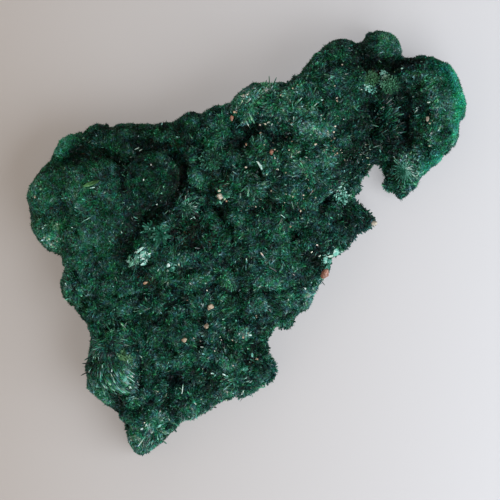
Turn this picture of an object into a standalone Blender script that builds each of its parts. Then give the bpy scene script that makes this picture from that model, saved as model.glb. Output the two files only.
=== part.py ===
"""Atacamite specimen: a crust of dark green crystals that grew together in rounded lobes, with sand
grains caught in it. It lies on the flat face where it was cut from its rock.

Row frame: +Z up, the cut face on z = 0, the origin under the middle of the plan, +X along the long side.
Sizes below are in millimetres and MM turns them into Blender's metres.
"""

import math
import random

import bmesh
import bpy
from mathutils import Matrix, Vector
from mathutils.bvhtree import BVHTree

MM = 0.001

# ---- the crust's edge, in plan, clockwise from the pinch under the south-west lobe ----
OUTLINE = [
    # south-west lobe, big west lobe and north-west knob
    (-30.1, -2.0), (-31.6, -1.2), (-33.2, 0.6), (-34.1, 2.6), (-34.4, 4.6), (-34.9, 6.4),
    (-35.0, 8.2), (-34.4, 10.0), (-33.0, 11.8), (-31.3, 13.3), (-31.1, 14.6), (-30.2, 16.2),
    (-28.6, 17.4), (-27.0, 18.0), (-26.0, 17.9),
    # north ridge, its two knobs and the notch between them
    (-24.6, 19.0), (-22.8, 19.3), (-21.2, 19.0), (-18.6, 19.3), (-15.6, 19.3), (-13.4, 19.3),
    (-11.0, 20.0), (-9.6, 21.1), (-8.2, 21.3), (-7.0, 20.6), (-6.6, 20.3), (-5.8, 21.2),
    (-4.4, 22.1), (-3.2, 22.0), (-2.2, 23.3), (-0.9, 24.2), (0.2, 25.1), (1.6, 25.8),
    (3.2, 25.5), (5.2, 25.8), (7.2, 26.4), (8.8, 27.7), (10.4, 29.5), (12.2, 31.3),
    (14.0, 32.6), (15.0, 32.9), (17.0, 32.6), (18.2, 32.2),
    # north-east knob and the big east lobe down to its hook
    (19.2, 33.4), (20.6, 34.1), (22.4, 34.0), (24.0, 33.0), (24.6, 31.4), (25.1, 30.0),
    (26.8, 30.0), (28.8, 30.2), (31.0, 29.6), (32.8, 28.4), (34.0, 26.4), (34.6, 24.2),
    (35.2, 22.2), (35.1, 20.8), (34.3, 19.0), (33.9, 16.8), (32.6, 14.5), (31.0, 12.9),
    (29.6, 12.0), (28.2, 10.2), (26.6, 8.5), (24.8, 7.2), (23.7, 8.1), (22.4, 8.3),
    (21.9, 9.8), (22.1, 11.3), (21.6, 12.3), (20.8, 12.5), (20.0, 11.9), (19.0, 10.8),
    # broken east side, from the gap beside the hook to the south foot
    (18.6, 8.9), (17.7, 7.8), (17.7, 6.6), (18.8, 5.7), (20.2, 4.9), (20.7, 3.8),
    (19.6, 2.2), (18.0, 1.2), (17.4, 0.1), (16.0, -1.0), (14.9, -1.8), (14.0, -3.4),
    (13.3, -4.9), (12.4, -5.8), (11.8, -7.4), (10.9, -9.3), (9.9, -10.6), (8.2, -11.9),
    (7.3, -13.6), (5.6, -13.8), (4.4, -14.2), (3.6, -15.2), (3.8, -16.8), (4.4, -18.2),
    (5.0, -19.6), (4.8, -21.0), (4.1, -22.1), (2.8, -22.8), (1.4, -23.9), (-0.6, -24.5),
    (-3.0, -25.0), (-5.4, -26.2), (-8.2, -28.0), (-10.8, -28.9), (-12.4, -30.6), (-14.4, -32.4),
    # south foot and the south-west side
    (-16.2, -34.0), (-17.4, -33.9), (-18.7, -32.0), (-19.4, -29.8), (-20.0, -27.8), (-21.2, -26.5),
    (-23.0, -25.3), (-24.7, -24.3), (-25.5, -22.6), (-25.7, -20.2), (-25.2, -18.0), (-25.0, -16.0),
    (-24.7, -14.7), (-25.4, -12.9), (-26.8, -11.0), (-28.4, -9.6), (-29.5, -7.8), (-29.4, -5.8),
    (-29.0, -4.0), (-29.3, -2.6),
]
SLAB_TOP = 6.2  # height of the crust between its mounds
EDGE_ROUND = 2.5  # radius of the slab's rounded rim
SEAT_DEPTH = 0.8  # how far the slab is made below the cut face
CURVE_STEPS = 3  # straight steps between two outline points
BEVEL_STEPS = 3

# ---- broad swells under the mounds, as (x, y, long radius, short radius, turn in degrees, top) ----
SWELLS = [
    (-25.0, 5.6, 9.4, 8.4, 0.0, 13.0),  # west lobes
    (-17.6, 8.6, 7.0, 5.4, 10.0, 12.8),
    (6.6, 19.2, 9.6, 6.8, 25.0, 12.4),  # north middle
    (13.6, 25.6, 6.8, 5.8, 50.0, 12.0),
    (30.2, 21.6, 8.6, 4.3, 98.0, 10.8),  # east lobe
    (7.4, 6.6, 11.0, 8.6, 35.0, 11.0),  # middle
    (-7.6, -9.4, 15.0, 8.6, 8.0, 10.2),
    (-10.6, -18.8, 11.6, 6.2, 10.0, 9.8),  # south
]
SWELL_WAIST = 3.0  # height at which a swell is widest

# ---- the mounds that grew on them, as (x, y, plan radius, height of the top) ----
DOME_RISE = 0.9  # height of a mound's dome over its plan radius
MOUNDS = [
    # west: smooth lobes that grew into each other
    (-28.2, 14.9, 2.6, 10.6), (-29.9, 8.2, 5.0, 12.6), (-29.9, 3.0, 4.3, 11.2),
    (-24.4, 8.5, 5.9, 15.2), (-21.0, 6.4, 5.2, 14.6), (-14.8, 10.6, 4.3, 15.2),
    (-18.2, 8.4, 4.4, 14.0), (-25.0, 2.4, 5.2, 14.0), (-21.2, 1.6, 3.8, 13.4),
    (-26.0, -2.4, 3.4, 12.0), (-22.2, -3.2, 3.4, 12.2), (-28.9, 11.4, 2.8, 11.8),
    # north ridge
    (-23.6, 16.2, 2.8, 10.4), (-19.8, 16.4, 2.7, 10.2), (-16.4, 16.6, 2.6, 10.6),
    (-12.8, 16.9, 2.6, 10.4), (-8.6, 18.6, 2.5, 10.8), (-4.7, 19.5, 2.5, 11.6),
    (-5.6, 13.4, 2.1, 12.8), (-9.0, 14.4, 2.0, 10.4), (-2.2, 17.4, 1.9, 11.4),
    (-7.6, 11.0, 1.8, 11.2), (-2.4, 13.4, 1.9, 11.8),
    # north middle
    (0.6, 21.6, 2.9, 14.0), (3.6, 22.8, 2.6, 14.0), (6.6, 21.8, 2.4, 14.8), (9.4, 23.2, 3.4, 14.6),
    (9.8, 19.4, 3.1, 15.8), (5.4, 18.6, 2.0, 12.4), (2.2, 14.6, 2.5, 13.8), (4.9, 12.2, 2.5, 13.6),
    (8.0, 14.8, 2.3, 13.6), (9.4, 11.6, 2.4, 14.2), (12.4, 13.8, 2.8, 15.0),
    (13.0, 10.2, 2.2, 13.4), (12.6, 24.8, 3.3, 15.0), (12.4, 28.0, 2.9, 13.4),
    (15.3, 29.8, 2.3, 12.2), (16.4, 26.2, 2.6, 14.8), (16.6, 22.4, 2.7, 15.4),
    (14.2, 20.6, 2.6, 15.2), (17.6, 19.0, 2.2, 14.2), (14.8, 16.8, 2.7, 14.8),
    (17.8, 15.8, 2.0, 11.4), (16.4, 12.6, 2.2, 10.8), (11.6, 16.8, 1.9, 14.2),
    # north-east knob and the rosettes in the hollow beside it
    (21.9, 31.0, 2.9, 11.6), (17.9, 29.4, 2.0, 10.2), (20.1, 25.8, 1.8, 12.2),
    (23.0, 25.3, 1.7, 12.6), (21.8, 27.2, 1.2, 11.0), (20.9, 23.6, 1.3, 10.6),
    # east lobe, bent round the deep hollow
    (26.8, 27.0, 2.7, 11.6), (29.9, 26.0, 3.8, 12.6), (31.2, 22.6, 3.8, 13.2),
    (28.4, 23.0, 2.3, 11.8), (30.9, 18.8, 3.1, 13.0), (28.2, 19.2, 2.2, 11.2),
    (29.6, 15.5, 2.9, 12.2), (27.0, 15.8, 1.9, 9.6), (26.2, 23.4, 1.9, 9.6),
    (25.4, 11.4, 2.9, 7.8), (28.0, 12.8, 2.2, 9.0),
    # east flank
    (15.4, 7.8, 2.2, 10.8), (17.2, 4.3, 2.7, 8.8), (13.0, 3.6, 2.8, 11.8), (14.6, 0.6, 2.4, 10.0),
    (11.2, 0.6, 2.4, 12.0),
    # floors of the hollows
    (-9.4, 2.6, 2.2, 8.2), (-6.6, 1.2, 2.0, 7.8), (-5.6, 3.6, 1.6, 8.4), (-10.6, 0.4, 1.6, 8.6),
    (22.2, 21.4, 2.2, 8.4), (23.4, 18.4, 2.4, 7.9), (22.0, 15.6, 2.2, 7.8), (24.6, 20.8, 1.8, 8.0),
    (24.8, 15.6, 1.7, 8.2), (23.6, 28.6, 1.6, 7.8), (24.6, 25.6, 1.5, 8.4),
    # middle, round the brown hollow
    (-4.2, 8.2, 2.0, 12.4), (-1.2, 10.4, 2.4, 12.4), (1.6, 8.2, 2.4, 13.0), (5.6, 8.8, 2.7, 13.6),
    (9.6, 7.2, 2.6, 13.4), (-9.4, 6.2, 2.0, 12.0), (-13.2, 2.4, 2.4, 11.6), (-12.6, 6.2, 1.7, 10.8),
    (-1.6, 5.0, 2.2, 11.8), (2.4, 4.0, 2.5, 12.6), (6.4, 4.2, 2.4, 13.0), (0.6, 0.8, 2.4, 12.2),
    (4.6, -0.2, 2.5, 12.6), (8.2, -1.6, 2.4, 12.2), (-13.4, -1.8, 2.3, 12.0),
    (-16.8, -1.8, 2.0, 12.4), (-9.6, -3.0, 2.3, 11.8), (-5.4, -2.6, 2.2, 11.6),
    (-1.8, -2.4, 2.2, 11.8), (10.6, 4.0, 2.0, 12.8),
    # south middle
    (-26.0, -6.7, 3.0, 11.2), (-22.2, -7.4, 2.8, 11.6), (-18.6, -6.2, 2.8, 12.0),
    (-14.8, -5.6, 2.3, 12.2), (-11.2, -6.8, 2.6, 12.2), (-7.2, -6.2, 2.5, 12.0),
    (-3.4, -6.2, 2.3, 12.2), (0.6, -5.0, 2.6, 12.4), (4.4, -5.0, 2.3, 12.0), (8.2, -5.2, 2.7, 11.0),
    (5.2, -8.8, 2.6, 11.0), (-23.4, -11.0, 2.4, 10.6), (-19.4, -10.4, 2.7, 11.4),
    (-15.4, -9.8, 2.5, 11.8), (-11.6, -11.2, 2.4, 11.6), (-7.6, -10.4, 2.6, 12.0),
    (-3.4, -10.4, 2.5, 12.0), (0.8, -9.4, 2.5, 11.8), (2.0, -12.6, 2.2, 11.2),
    # south: the lobe of combed fibres, the plateau and the foot
    (-21.9, -16.6, 3.0, 11.8), (-21.7, -20.6, 3.6, 12.4), (-17.8, -14.4, 2.6, 11.4),
    (-17.4, -18.4, 2.6, 11.6), (-13.8, -15.2, 2.5, 11.8), (-9.6, -14.8, 2.5, 12.0),
    (-5.4, -14.4, 2.3, 11.8), (-1.4, -14.8, 2.5, 11.8), (-13.6, -19.6, 2.7, 11.8),
    (-9.2, -18.8, 2.6, 11.8), (-5.0, -18.6, 2.5, 11.6), (-1.0, -18.8, 2.4, 11.2),
    (1.8, -19.4, 2.3, 10.2), (-2.8, -21.8, 2.1, 10.0), (-6.8, -22.6, 2.4, 10.4),
    (-10.8, -23.8, 2.5, 10.4), (-15.2, -23.6, 2.7, 11.0), (-18.4, -23.4, 2.1, 10.6),
    (-15.6, -27.6, 2.7, 9.8), (-17.0, -30.8, 2.1, 9.0),
]
MOUND_DIVISIONS = 3

# ---- small knobs that follow the broken parts of the edge, touching the outline from inside ----
RIM_SPANS = [(22, 43), (71, 129)]  # from which outline point to which
RIM_STEP = 2
RIM_RADIUS = (1.9, 2.6)
RIM_TOP = (8.6, 10.2)
RIM_SEED = 11
RIM_CLEAR = 0.97  # a knob's radius shrinks until this share of it clears the outline
GAP_CENTRE = (21.0, 9.0)  # the gap in the east side, beside the hook
GAP_REACH = 7.0  # the crust is thin this far from it
GAP_TOP = 6.8  # highest knob of the edge there

# ---- how the lobes are fused into one solid ----
FUSE_VOXEL = 0.55
SMOOTH_FACTOR = 0.5
SMOOTH_ROUNDS = 2
KEPT_FACES = 0.085  # share of the fused faces that the facets keep

# ---- sand grains caught on the crust, as (name, x, y, length, width, turn in degrees, material) ----
GRAIN_GAP = 0.3
GRAIN_ROUGHNESS = 0.16
GRAINS = [
    ("tan_grain_middle", -6.2, -10.1, 1.5, 1.1, 35.0, "tan quartz"),
    ("tan_grain_south", -5.9, -13.5, 1.1, 0.9, 60.0, "tan quartz"),
    ("tan_grain_south_west", -9.8, -15.3, 1.2, 1.0, 10.0, "tan quartz"),
    ("cream_grain_hollow", -4.2, 7.6, 1.4, 1.1, 120.0, "pale quartz"),
    ("rust_grain_north", -2.5, 19.9, 1.1, 0.8, 95.0, "rust quartz"),
    ("rust_grain_middle", 3.6, 14.6, 1.2, 0.8, 80.0, "rust quartz"),
    ("rust_grain_east_edge", 12.2, -4.1, 2.2, 1.4, 60.0, "rust quartz"),
    ("pale_grain_east_tip", 19.6, 3.5, 1.3, 1.0, 20.0, "pale quartz"),
    ("pale_grain_east_lobe", 29.3, 19.6, 1.1, 0.8, 70.0, "pale quartz"),
]

COLOURS = {
    "green crystals": ((0.010, 0.070, 0.042, 1.0), 0.45),
    "tan quartz": ((0.60, 0.42, 0.27, 1.0), 0.40),
    "pale quartz": ((0.72, 0.64, 0.54, 1.0), 0.35),
    "rust quartz": ((0.62, 0.25, 0.13, 1.0), 0.45),
}


def clear_scene():
    for obj in list(bpy.data.objects):
        bpy.data.objects.remove(obj)


def make_material(name):
    """A Principled material in the named mineral's colour."""
    colour, roughness = COLOURS[name]
    material = bpy.data.materials.new(name)
    material.use_nodes = True
    shader = material.node_tree.nodes["Principled BSDF"]
    shader.inputs["Base Color"].default_value = colour
    shader.inputs["Roughness"].default_value = roughness
    shader.inputs["Metallic"].default_value = 0.0
    return material


def link_object(name, data):
    obj = bpy.data.objects.new(name, data)
    bpy.context.scene.collection.objects.link(obj)
    return obj


def slab_mesh():
    """The crust between its mounds: the outline filled, with a rounded rim, from under the cut face up."""
    curve = bpy.data.curves.new("slab outline", "CURVE")
    curve.dimensions = "2D"
    curve.fill_mode = "BOTH"
    curve.resolution_u = CURVE_STEPS
    half = (SLAB_TOP + SEAT_DEPTH) / 2
    curve.bevel_depth = EDGE_ROUND * MM
    curve.bevel_resolution = BEVEL_STEPS
    curve.offset = -EDGE_ROUND * MM
    curve.extrude = (half - EDGE_ROUND) * MM
    spline = curve.splines.new("BEZIER")
    spline.bezier_points.add(len(OUTLINE) - 1)
    for point, (x, y) in zip(spline.bezier_points, OUTLINE):
        point.co = (x * MM, y * MM, 0.0)
        point.handle_left_type = "AUTO"
        point.handle_right_type = "AUTO"
    spline.use_cyclic_u = True
    guide = link_object("slab outline", curve)
    bpy.context.view_layer.update()
    graph = bpy.context.evaluated_depsgraph_get()
    mesh = bpy.data.meshes.new_from_object(guide.evaluated_get(graph))
    bpy.data.objects.remove(guide)
    mesh.transform(Matrix.Translation((0.0, 0.0, (half - SEAT_DEPTH) * MM)))
    return mesh


def add_ball(bm, place, radii, turn, waist, top):
    """A ball in plan over place, widest at its waist: it reaches the top above and the seat below."""
    made = bmesh.ops.create_icosphere(bm, subdivisions=MOUND_DIVISIONS, radius=1.0)
    cosine, sine = math.cos(math.radians(turn)), math.sin(math.radians(turn))
    for vertex in made["verts"]:
        along, across, up = vertex.co.x * radii[0], vertex.co.y * radii[1], vertex.co.z
        x = place[0] + along * cosine - across * sine
        y = place[1] + along * sine + across * cosine
        z = waist + up * (top - waist if up > 0 else waist + SEAT_DEPTH)
        vertex.co = Vector((x, y, z)) * MM


def add_swell(bm, x, y, long_radius, short_radius, turn, top):
    """A broad low mass that lifts the mounds standing on it."""
    add_ball(bm, (x, y), (long_radius, short_radius), turn, SWELL_WAIST, top)


def add_mound(bm, x, y, radius, top):
    """A round knob of crystals: a dome on a body that narrows down to the ground."""
    add_ball(bm, (x, y), (radius, radius), 0.0, top - DOME_RISE * radius, top)


def edge_distance(x, y):
    """How far a place in plan is from the nearest side of the outline."""
    place = Vector((x, y))
    nearest = math.inf
    for (ax, ay), (bx, by) in zip(OUTLINE, OUTLINE[1:] + OUTLINE[:1]):
        start, side = Vector((ax, ay)), Vector((bx - ax, by - ay))
        share = max(0.0, min(1.0, (place - start).dot(side) / side.length_squared))
        nearest = min(nearest, (place - start - side * share).length)
    return nearest


def rim_knobs():
    """Knobs along the broken edge, each as large as the outline lets it be."""
    rng = random.Random(RIM_SEED)
    knobs = []
    for first, last in RIM_SPANS:
        for index in range(first, last, RIM_STEP):
            before, here, after = OUTLINE[index - 1], OUTLINE[index], OUTLINE[(index + 1) % len(OUTLINE)]
            inward = Vector((after[1] - before[1], before[0] - after[0])).normalized()
            radius = rng.uniform(*RIM_RADIUS)
            top = rng.uniform(*RIM_TOP)
            if math.dist(here, GAP_CENTRE) < GAP_REACH:
                top = min(top, GAP_TOP)
            while radius > 0.8:
                x, y = here[0] + inward.x * radius, here[1] + inward.y * radius
                if edge_distance(x, y) > radius * RIM_CLEAR:
                    knobs.append((x, y, radius, top))
                    break
                radius -= 0.1
    return knobs


def ground_cutter():
    """A block under z = 0 that leaves the cut face flat."""
    mesh = bpy.data.meshes.new("ground cutter")
    bm = bmesh.new()
    bmesh.ops.create_cube(bm, size=1.0)
    bm.to_mesh(mesh)
    bm.free()
    mesh.transform(Matrix.Diagonal((0.1, 0.1, 0.01, 1.0)))
    mesh.transform(Matrix.Translation((0.0, 0.0, -0.005)))
    cutter = link_object("ground_cutter", mesh)
    cutter.hide_render = True
    cutter.display_type = "WIRE"
    return cutter


def make_crust():
    """The crystal crust: slab and mounds fused into one faceted solid and cut flat underneath."""
    mesh = slab_mesh()
    bm = bmesh.new()
    bm.from_mesh(mesh)
    for swell in SWELLS:
        add_swell(bm, *swell)
    for mound in MOUNDS + rim_knobs():
        add_mound(bm, *mound)
    bmesh.ops.remove_doubles(bm, verts=bm.verts, dist=1e-6)
    bm.to_mesh(mesh)
    bm.free()
    crust = link_object("crystal_crust", mesh)
    mesh.materials.clear()
    mesh.materials.append(make_material("green crystals"))
    fuse = crust.modifiers.new("fuse lobes", "REMESH")
    fuse.mode = "VOXEL"
    fuse.voxel_size = FUSE_VOXEL * MM
    soften = crust.modifiers.new("soften creases", "SMOOTH")
    soften.factor = SMOOTH_FACTOR
    soften.iterations = SMOOTH_ROUNDS
    facet = crust.modifiers.new("facet", "DECIMATE")
    facet.ratio = KEPT_FACES
    cut = crust.modifiers.new("cut from the rock", "BOOLEAN")
    cut.operation = "DIFFERENCE"
    cut.object = ground_cutter()
    return crust


def surface_of(obj):
    """The object's evaluated surface, for finding where a grain rests."""
    bpy.context.view_layer.update()
    return BVHTree.FromObject(obj, bpy.context.evaluated_depsgraph_get())


def seat_point(surface, x, y, reach):
    """A centre above (x, y) that lies the given reach away from every part of the surface."""
    hit, normal, _, _ = surface.ray_cast(Vector((x * MM, y * MM, 0.1)), Vector((0.0, 0.0, -1.0)))
    if hit is None:
        raise ValueError(f"no crust under ({x}, {y})")
    centre = hit + normal * reach
    step = Vector((0.0, 0.0, 0.02 * MM))
    while surface.find_nearest(centre)[3] < reach:
        centre = centre + step
    return centre


def make_grain(surface, number, name, x, y, length, width, turn, colour):
    """A worn sand grain: a coarse ball with an uneven surface, resting on the crust."""
    reach = (length / 2 * (1 + GRAIN_ROUGHNESS) + GRAIN_GAP) * MM
    centre = seat_point(surface, x, y, reach)
    rng = random.Random(number)
    bm = bmesh.new()
    bmesh.ops.create_icosphere(bm, subdivisions=2, radius=0.5)
    for vertex in bm.verts:
        vertex.co *= 1 - GRAIN_ROUGHNESS * rng.random()
    mesh = bpy.data.meshes.new(name)
    bm.to_mesh(mesh)
    bm.free()
    mesh.transform(Matrix.Diagonal((length * MM, width * MM, width * MM, 1.0)))
    mesh.transform(Matrix.Rotation(math.radians(turn), 4, "Z"))
    mesh.materials.append(make_material(colour))
    grain = link_object(name, mesh)
    grain.location = centre
    return grain


def main():
    clear_scene()
    crust = make_crust()
    surface = surface_of(crust)
    for number, grain in enumerate(GRAINS):
        make_grain(surface, number, *grain)


main()
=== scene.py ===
"""The atacamite specimen as it looks: a crust of dark green crystals in rounded lobes, with blades and
flakes of paler crystal and sand grains caught in it, on a plain pale floor.

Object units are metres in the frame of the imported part. Lengths in the tables are millimetres.
"""

import math
import random

import bmesh
import bpy
import numpy as np
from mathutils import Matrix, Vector, noise
from mathutils.bvhtree import BVHTree


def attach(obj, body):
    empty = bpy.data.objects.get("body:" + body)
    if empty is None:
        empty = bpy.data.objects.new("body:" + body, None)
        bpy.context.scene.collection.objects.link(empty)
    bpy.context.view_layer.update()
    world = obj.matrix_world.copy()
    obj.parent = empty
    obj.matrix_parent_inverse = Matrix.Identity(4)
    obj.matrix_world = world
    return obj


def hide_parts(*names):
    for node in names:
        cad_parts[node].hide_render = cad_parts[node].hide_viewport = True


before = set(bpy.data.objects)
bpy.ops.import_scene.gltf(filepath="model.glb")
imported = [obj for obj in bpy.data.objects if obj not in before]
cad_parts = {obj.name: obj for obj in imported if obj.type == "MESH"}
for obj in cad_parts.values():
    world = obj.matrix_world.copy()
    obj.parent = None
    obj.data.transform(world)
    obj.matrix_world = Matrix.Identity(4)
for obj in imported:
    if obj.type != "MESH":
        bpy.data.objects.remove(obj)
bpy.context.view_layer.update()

MM = 0.001

# ---------------------------------------------------------------------------------------------
# Where the crust differs. Patches are (x, y, half length, half width, turn in degrees, strength).
# ---------------------------------------------------------------------------------------------

# smooth domes of very short crystals
VELVET_PATCHES = [
    (-26.5, 7.0, 10.5, 9.5, 0, 0.72),
    (-17.0, 9.6, 6.6, 5.2, 10, 0.74),
    (-24.0, -1.0, 6.0, 5.0, 0, 0.5),
    (-19.0, 17.2, 8.0, 2.6, 2, 0.6),
    (-28.4, 15.6, 3.0, 3.0, 0, 1.0),
    (21.9, 31.6, 3.6, 3.2, 0, 1.0),
    (34.2, 22.0, 2.2, 8.5, 4, 1.0),
    (32.2, 14.4, 4.0, 1.8, 50, 1.0),
    (30.5, 28.8, 4.5, 2.0, -25, 0.9),
    (-22.6, -20.0, 3.6, 5.2, 0, 0.8),
    (-17.4, -31.0, 2.4, 3.4, 0, 0.5),
    (-6.0, -25.6, 10.4, 1.5, 20, 0.7),
    (11.6, -7.8, 2.2, 4.4, -30, 1.0),
    (-9.0, 19.8, 3.4, 2.0, 0, 0.8),
    (-6.2, 14.2, 2.4, 2.4, 0, 0.5),
]
# crystals that stand out of the edge
JAGGED_PATCHES = [
    (18.6, 9.4, 2.4, 4.6, -15, 0.7),
    (22.6, 10.4, 1.6, 3.2, 10, 0.8),
    (17.4, 0.4, 4.6, 2.6, 45, 0.8),
    (4.4, -19.0, 3.0, 3.6, 0, 1.0),
    (8.0, -13.6, 3.0, 1.2, 0, 0.4),
]
# lighter and darker crystals, partly their own colour and partly painted light and painted shade that follow
# how the lobes are lit: the strength is added to the shade or taken from it
LIGHTER_AND_PAINTED_LIGHT_PATCHES = [
    (34.4, 21.5, 2.0, 8.4, 3, 0.28),
    (11.0, -8.0, 1.4, 2.8, -28, 0.32),
    (-26.0, 3.0, 7.0, 7.0, 0, 0.02),
    (-14.0, -28.4, 2.4, 1.1, 38, 0.24),
    (-19.4, -20.8, 0.9, 2.2, 0, 0.20),
    (-22.4, -21.6, 1.6, 1.6, 0, 0.10),
    (32.6, 14.2, 4.2, 1.6, 52, 0.20),
    (31.4, 28.2, 4.6, 1.8, -38, 0.04),
    (23.4, 31.0, 2.0, 2.4, 0, 0.10),
    (2.4, 22.4, 4.6, 3.2, 10, 0.14),
    (9.0, 20.4, 4.4, 3.0, 20, 0.12),
    (12.0, 17.0, 3.2, 2.4, 0, 0.10),
    (10.6, 13.0, 4.4, 2.8, 20, 0.08),
    (26.4, 12.2, 2.2, 2.4, 0, 0.24),
    (-33.0, 3.4, 3.4, 8.0, 4, 0.17),
    (-27.4, 4.0, 2.8, 8.0, 0, 0.07),
    (-29.6, 16.4, 3.4, 1.9, 45, 0.25),
    (-26.0, 16.6, 0.8, 0.8, 0, 0.24),
    (1.6, 24.6, 4.0, 1.6, 5, 0.12),
    (-24.0, -24.0, 3.6, 1.8, -48, 0.24),
    (-28.6, -9.0, 1.6, 5.0, 20, 0.05),
    (-29.8, 2.2, 1.8, 2.6, 0, 0.06),
    (-14.4, 1.2, 2.6, 1.8, 20, 0.06),
    (-23.6, 1.0, 3.6, 2.6, 0, 0.06),
    (-19.0, -22.4, 2.6, 4.0, 20, 0.06),
    (-17.2, -31.0, 2.4, 3.0, 0, 0.18),
    (-5.0, -25.4, 11.0, 1.6, 20, 0.06),
    (-28.0, -6.0, 2.2, 4.6, 0, 0.08),
    (29.2, 20.6, 2.4, 6.0, 0, 0.08),
    (-22.6, 9.8, 4.0, 5.4, 0, 0.04),
    (-28.4, 8.4, 2.4, 3.6, 0, 0.06),
    (-2.4, -17.8, 4.8, 3.2, 0, 0.05),
    (4.6, -4.0, 3.4, 3.0, 0, 0.08),
    (7.6, 0.2, 3.2, 2.6, 0, 0.06),
]
# darker crystals, partly painted shade in hollows and on slopes that the lamps hardly reach
DARKER_AND_PAINTED_SHADE_PATCHES = [
    (-14.4, 4.0, 4.2, 1.5, 40, 0.10),
    (22.6, 18.2, 3.2, 6.0, 0, 0.14),
    (24.4, 25.0, 1.2, 2.4, 0, 0.12),
    (21.0, 28.0, 3.0, 1.0, 0, 0.10),
    (23.4, 29.0, 4.6, 1.5, 0, 0.18),
    (18.6, 29.6, 2.2, 1.8, 0, 0.14),
    (26.6, 22.0, 2.0, 4.6, 0, 0.10),
    (18.4, 3.0, 4.0, 3.6, 0, 0.14),
    (18.6, 12.0, 2.4, 4.4, 0, 0.13),
    (-10.6, 11.0, 1.3, 4.4, -8, 0.16),
    (-14.4, 5.2, 2.6, 1.6, 40, 0.18),
    (-18.6, 1.6, 1.4, 4.2, -30, 0.14),
    (-18.5, 17.8, 8.6, 2.0, 2, 0.10),
    (-28.0, 14.8, 2.0, 1.2, 35, 0.06),
    (-9.3, 6.0, 2.2, 2.2, 0, 0.09),
    (-5.8, 13.4, 2.2, 2.0, 0, 0.05),
    (-8.2, 19.6, 3.0, 1.8, 0, 0.08),
    (3.4, -20.4, 3.4, 3.4, 0, 0.05),
    (1.2, 18.0, 1.8, 1.2, 0, 0.14),
    (5.0, 16.8, 1.6, 1.2, 0, 0.12),
    (-1.4, 15.6, 2.4, 1.4, 0, 0.12),
    (-9.0, 1.4, 4.6, 3.0, 0, 0.05),
    (-6.4, -21.6, 1.2, 2.4, 0, 0.12),
    (-13.0, -22.6, 3.4, 3.0, 0, 0.08),
    (11.6, -1.6, 1.6, 1.4, 0, 0.14),
    (17.0, 16.6, 3.2, 5.0, 0, 0.13),
    (10.6, -1.0, 3.0, 5.4, 0, 0.06),
    (10.0, -2.6, 3.0, 4.6, 0, 0.08),
    (-15.2, 10.2, 4.0, 4.0, 0, 0.05),
]
# crystals stained brown
BROWN_PATCHES = [
    (-26.0, 6.0, 8.0, 9.0, 0, 0.14),
    (-8.4, 1.6, 4.0, 2.4, 0, 0.34),
    (-10.6, 9.8, 0.8, 2.6, -8, 0.35),
    (-4.0, 9.6, 1.8, 2.0, 0, 0.30),
    (-16.0, -6.2, 1.6, 1.0, 0, 0.5),
    (0.8, -18.6, 1.0, 1.6, 0, 0.35),
    (20.0, 26.4, 1.4, 1.3, 0, 0.4),
    (-13.0, 16.0, 2.6, 1.0, 0, 0.25),
    (24.4, 12.2, 1.0, 3.2, 0, 0.2),
]
# more pale crystals among the green ones, partly painted highlights where glints would be
PALE_AND_GLINT_PATCHES = [
    (-5.6, -25.4, 10.4, 1.4, 20, 0.50),
    (11.3, -7.8, 1.5, 3.0, -28, 0.8),
    (1.6, 22.0, 4.4, 2.4, 10, 0.06),
    (14.8, 8.2, 1.6, 1.6, 0, 0.5),
    (25.8, 12.6, 1.5, 1.5, 0, 0.5),
    (-14.8, -30.0, 1.6, 1.6, 45, 0.4),
    (-24.4, -18.4, 1.0, 2.0, 8, 0.25),
    (-26.6, -6.6, 1.6, 1.4, 0, 0.20),
    (9.6, 19.2, 2.6, 2.0, 0, 0.20),
    (21.6, 26.6, 1.2, 0.9, 0, 0.5),
    (5.8, 11.2, 2.8, 2.2, 0, 0.14),
    (0.6, 4.6, 3.0, 2.4, 0, 0.10),
    (-3.4, -21.6, 4.0, 1.6, 15, 0.20),
    (-2.6, -17.0, 2.0, 1.6, 0, 0.16),
    (-14.6, 1.4, 2.0, 1.4, 20, 0.08),
]
# small pale plates lying in the crust
FLAKE_PATCHES = [
    (13.4, -1.8, 1.9, 1.1, 35, 1.0),
    (-16.8, -2.0, 1.5, 1.0, 25, 1.0),
    (-18.4, -2.8, 1.4, 0.8, 20, 0.45),
    (-12.4, -3.7, 1.1, 0.6, 0, 0.7),
    (2.2, 12.8, 0.3, 0.7, 30, 1.0),
    (22.4, 26.6, 0.7, 0.5, 0, 1.0),
    (19.4, 24.9, 0.6, 0.4, 0, 0.8),
    (27.2, 21.2, 1.0, 0.3, 50, 0.7),
    (-4.0, 7.4, 0.8, 0.6, 0, 0.6),
    (4.9, 24.0, 1.0, 0.6, 0, 0.3),
    (14.6, 8.0, 1.6, 1.2, 0, 0.35),
    (10.4, -7.2, 1.0, 2.0, -30, 0.25),
    (-11.0, -30.0, 2.2, 0.8, 40, 0.25),
]
# specks of sand between the crystals
SAND_PATCHES = [
    (6.0, 22.0, 9.0, 3.6, 15, 0.5),
    (9.0, 15.0, 6.4, 5.0, 20, 1.0),
    (5.0, 8.4, 6.0, 4.6, 0, 0.9),
    (14.0, 17.6, 3.6, 5.0, 0, 0.8),
    (1.4, 4.4, 6.0, 3.0, 0, 0.5),
    (-5.0, -12.0, 5.4, 4.6, 0, 0.45),
    (-3.0, -16.6, 5.0, 2.6, 0, 0.45),
    (28.6, 19.6, 1.6, 1.4, 0, 0.6),
]
# crystals combed round a middle: (x, y, inner and outer radius, from and to angle, strength)
SWIRLS = [
    (-17.9, -18.2, 2.2, 7.0, 152, 272, 0.95),
]
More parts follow.
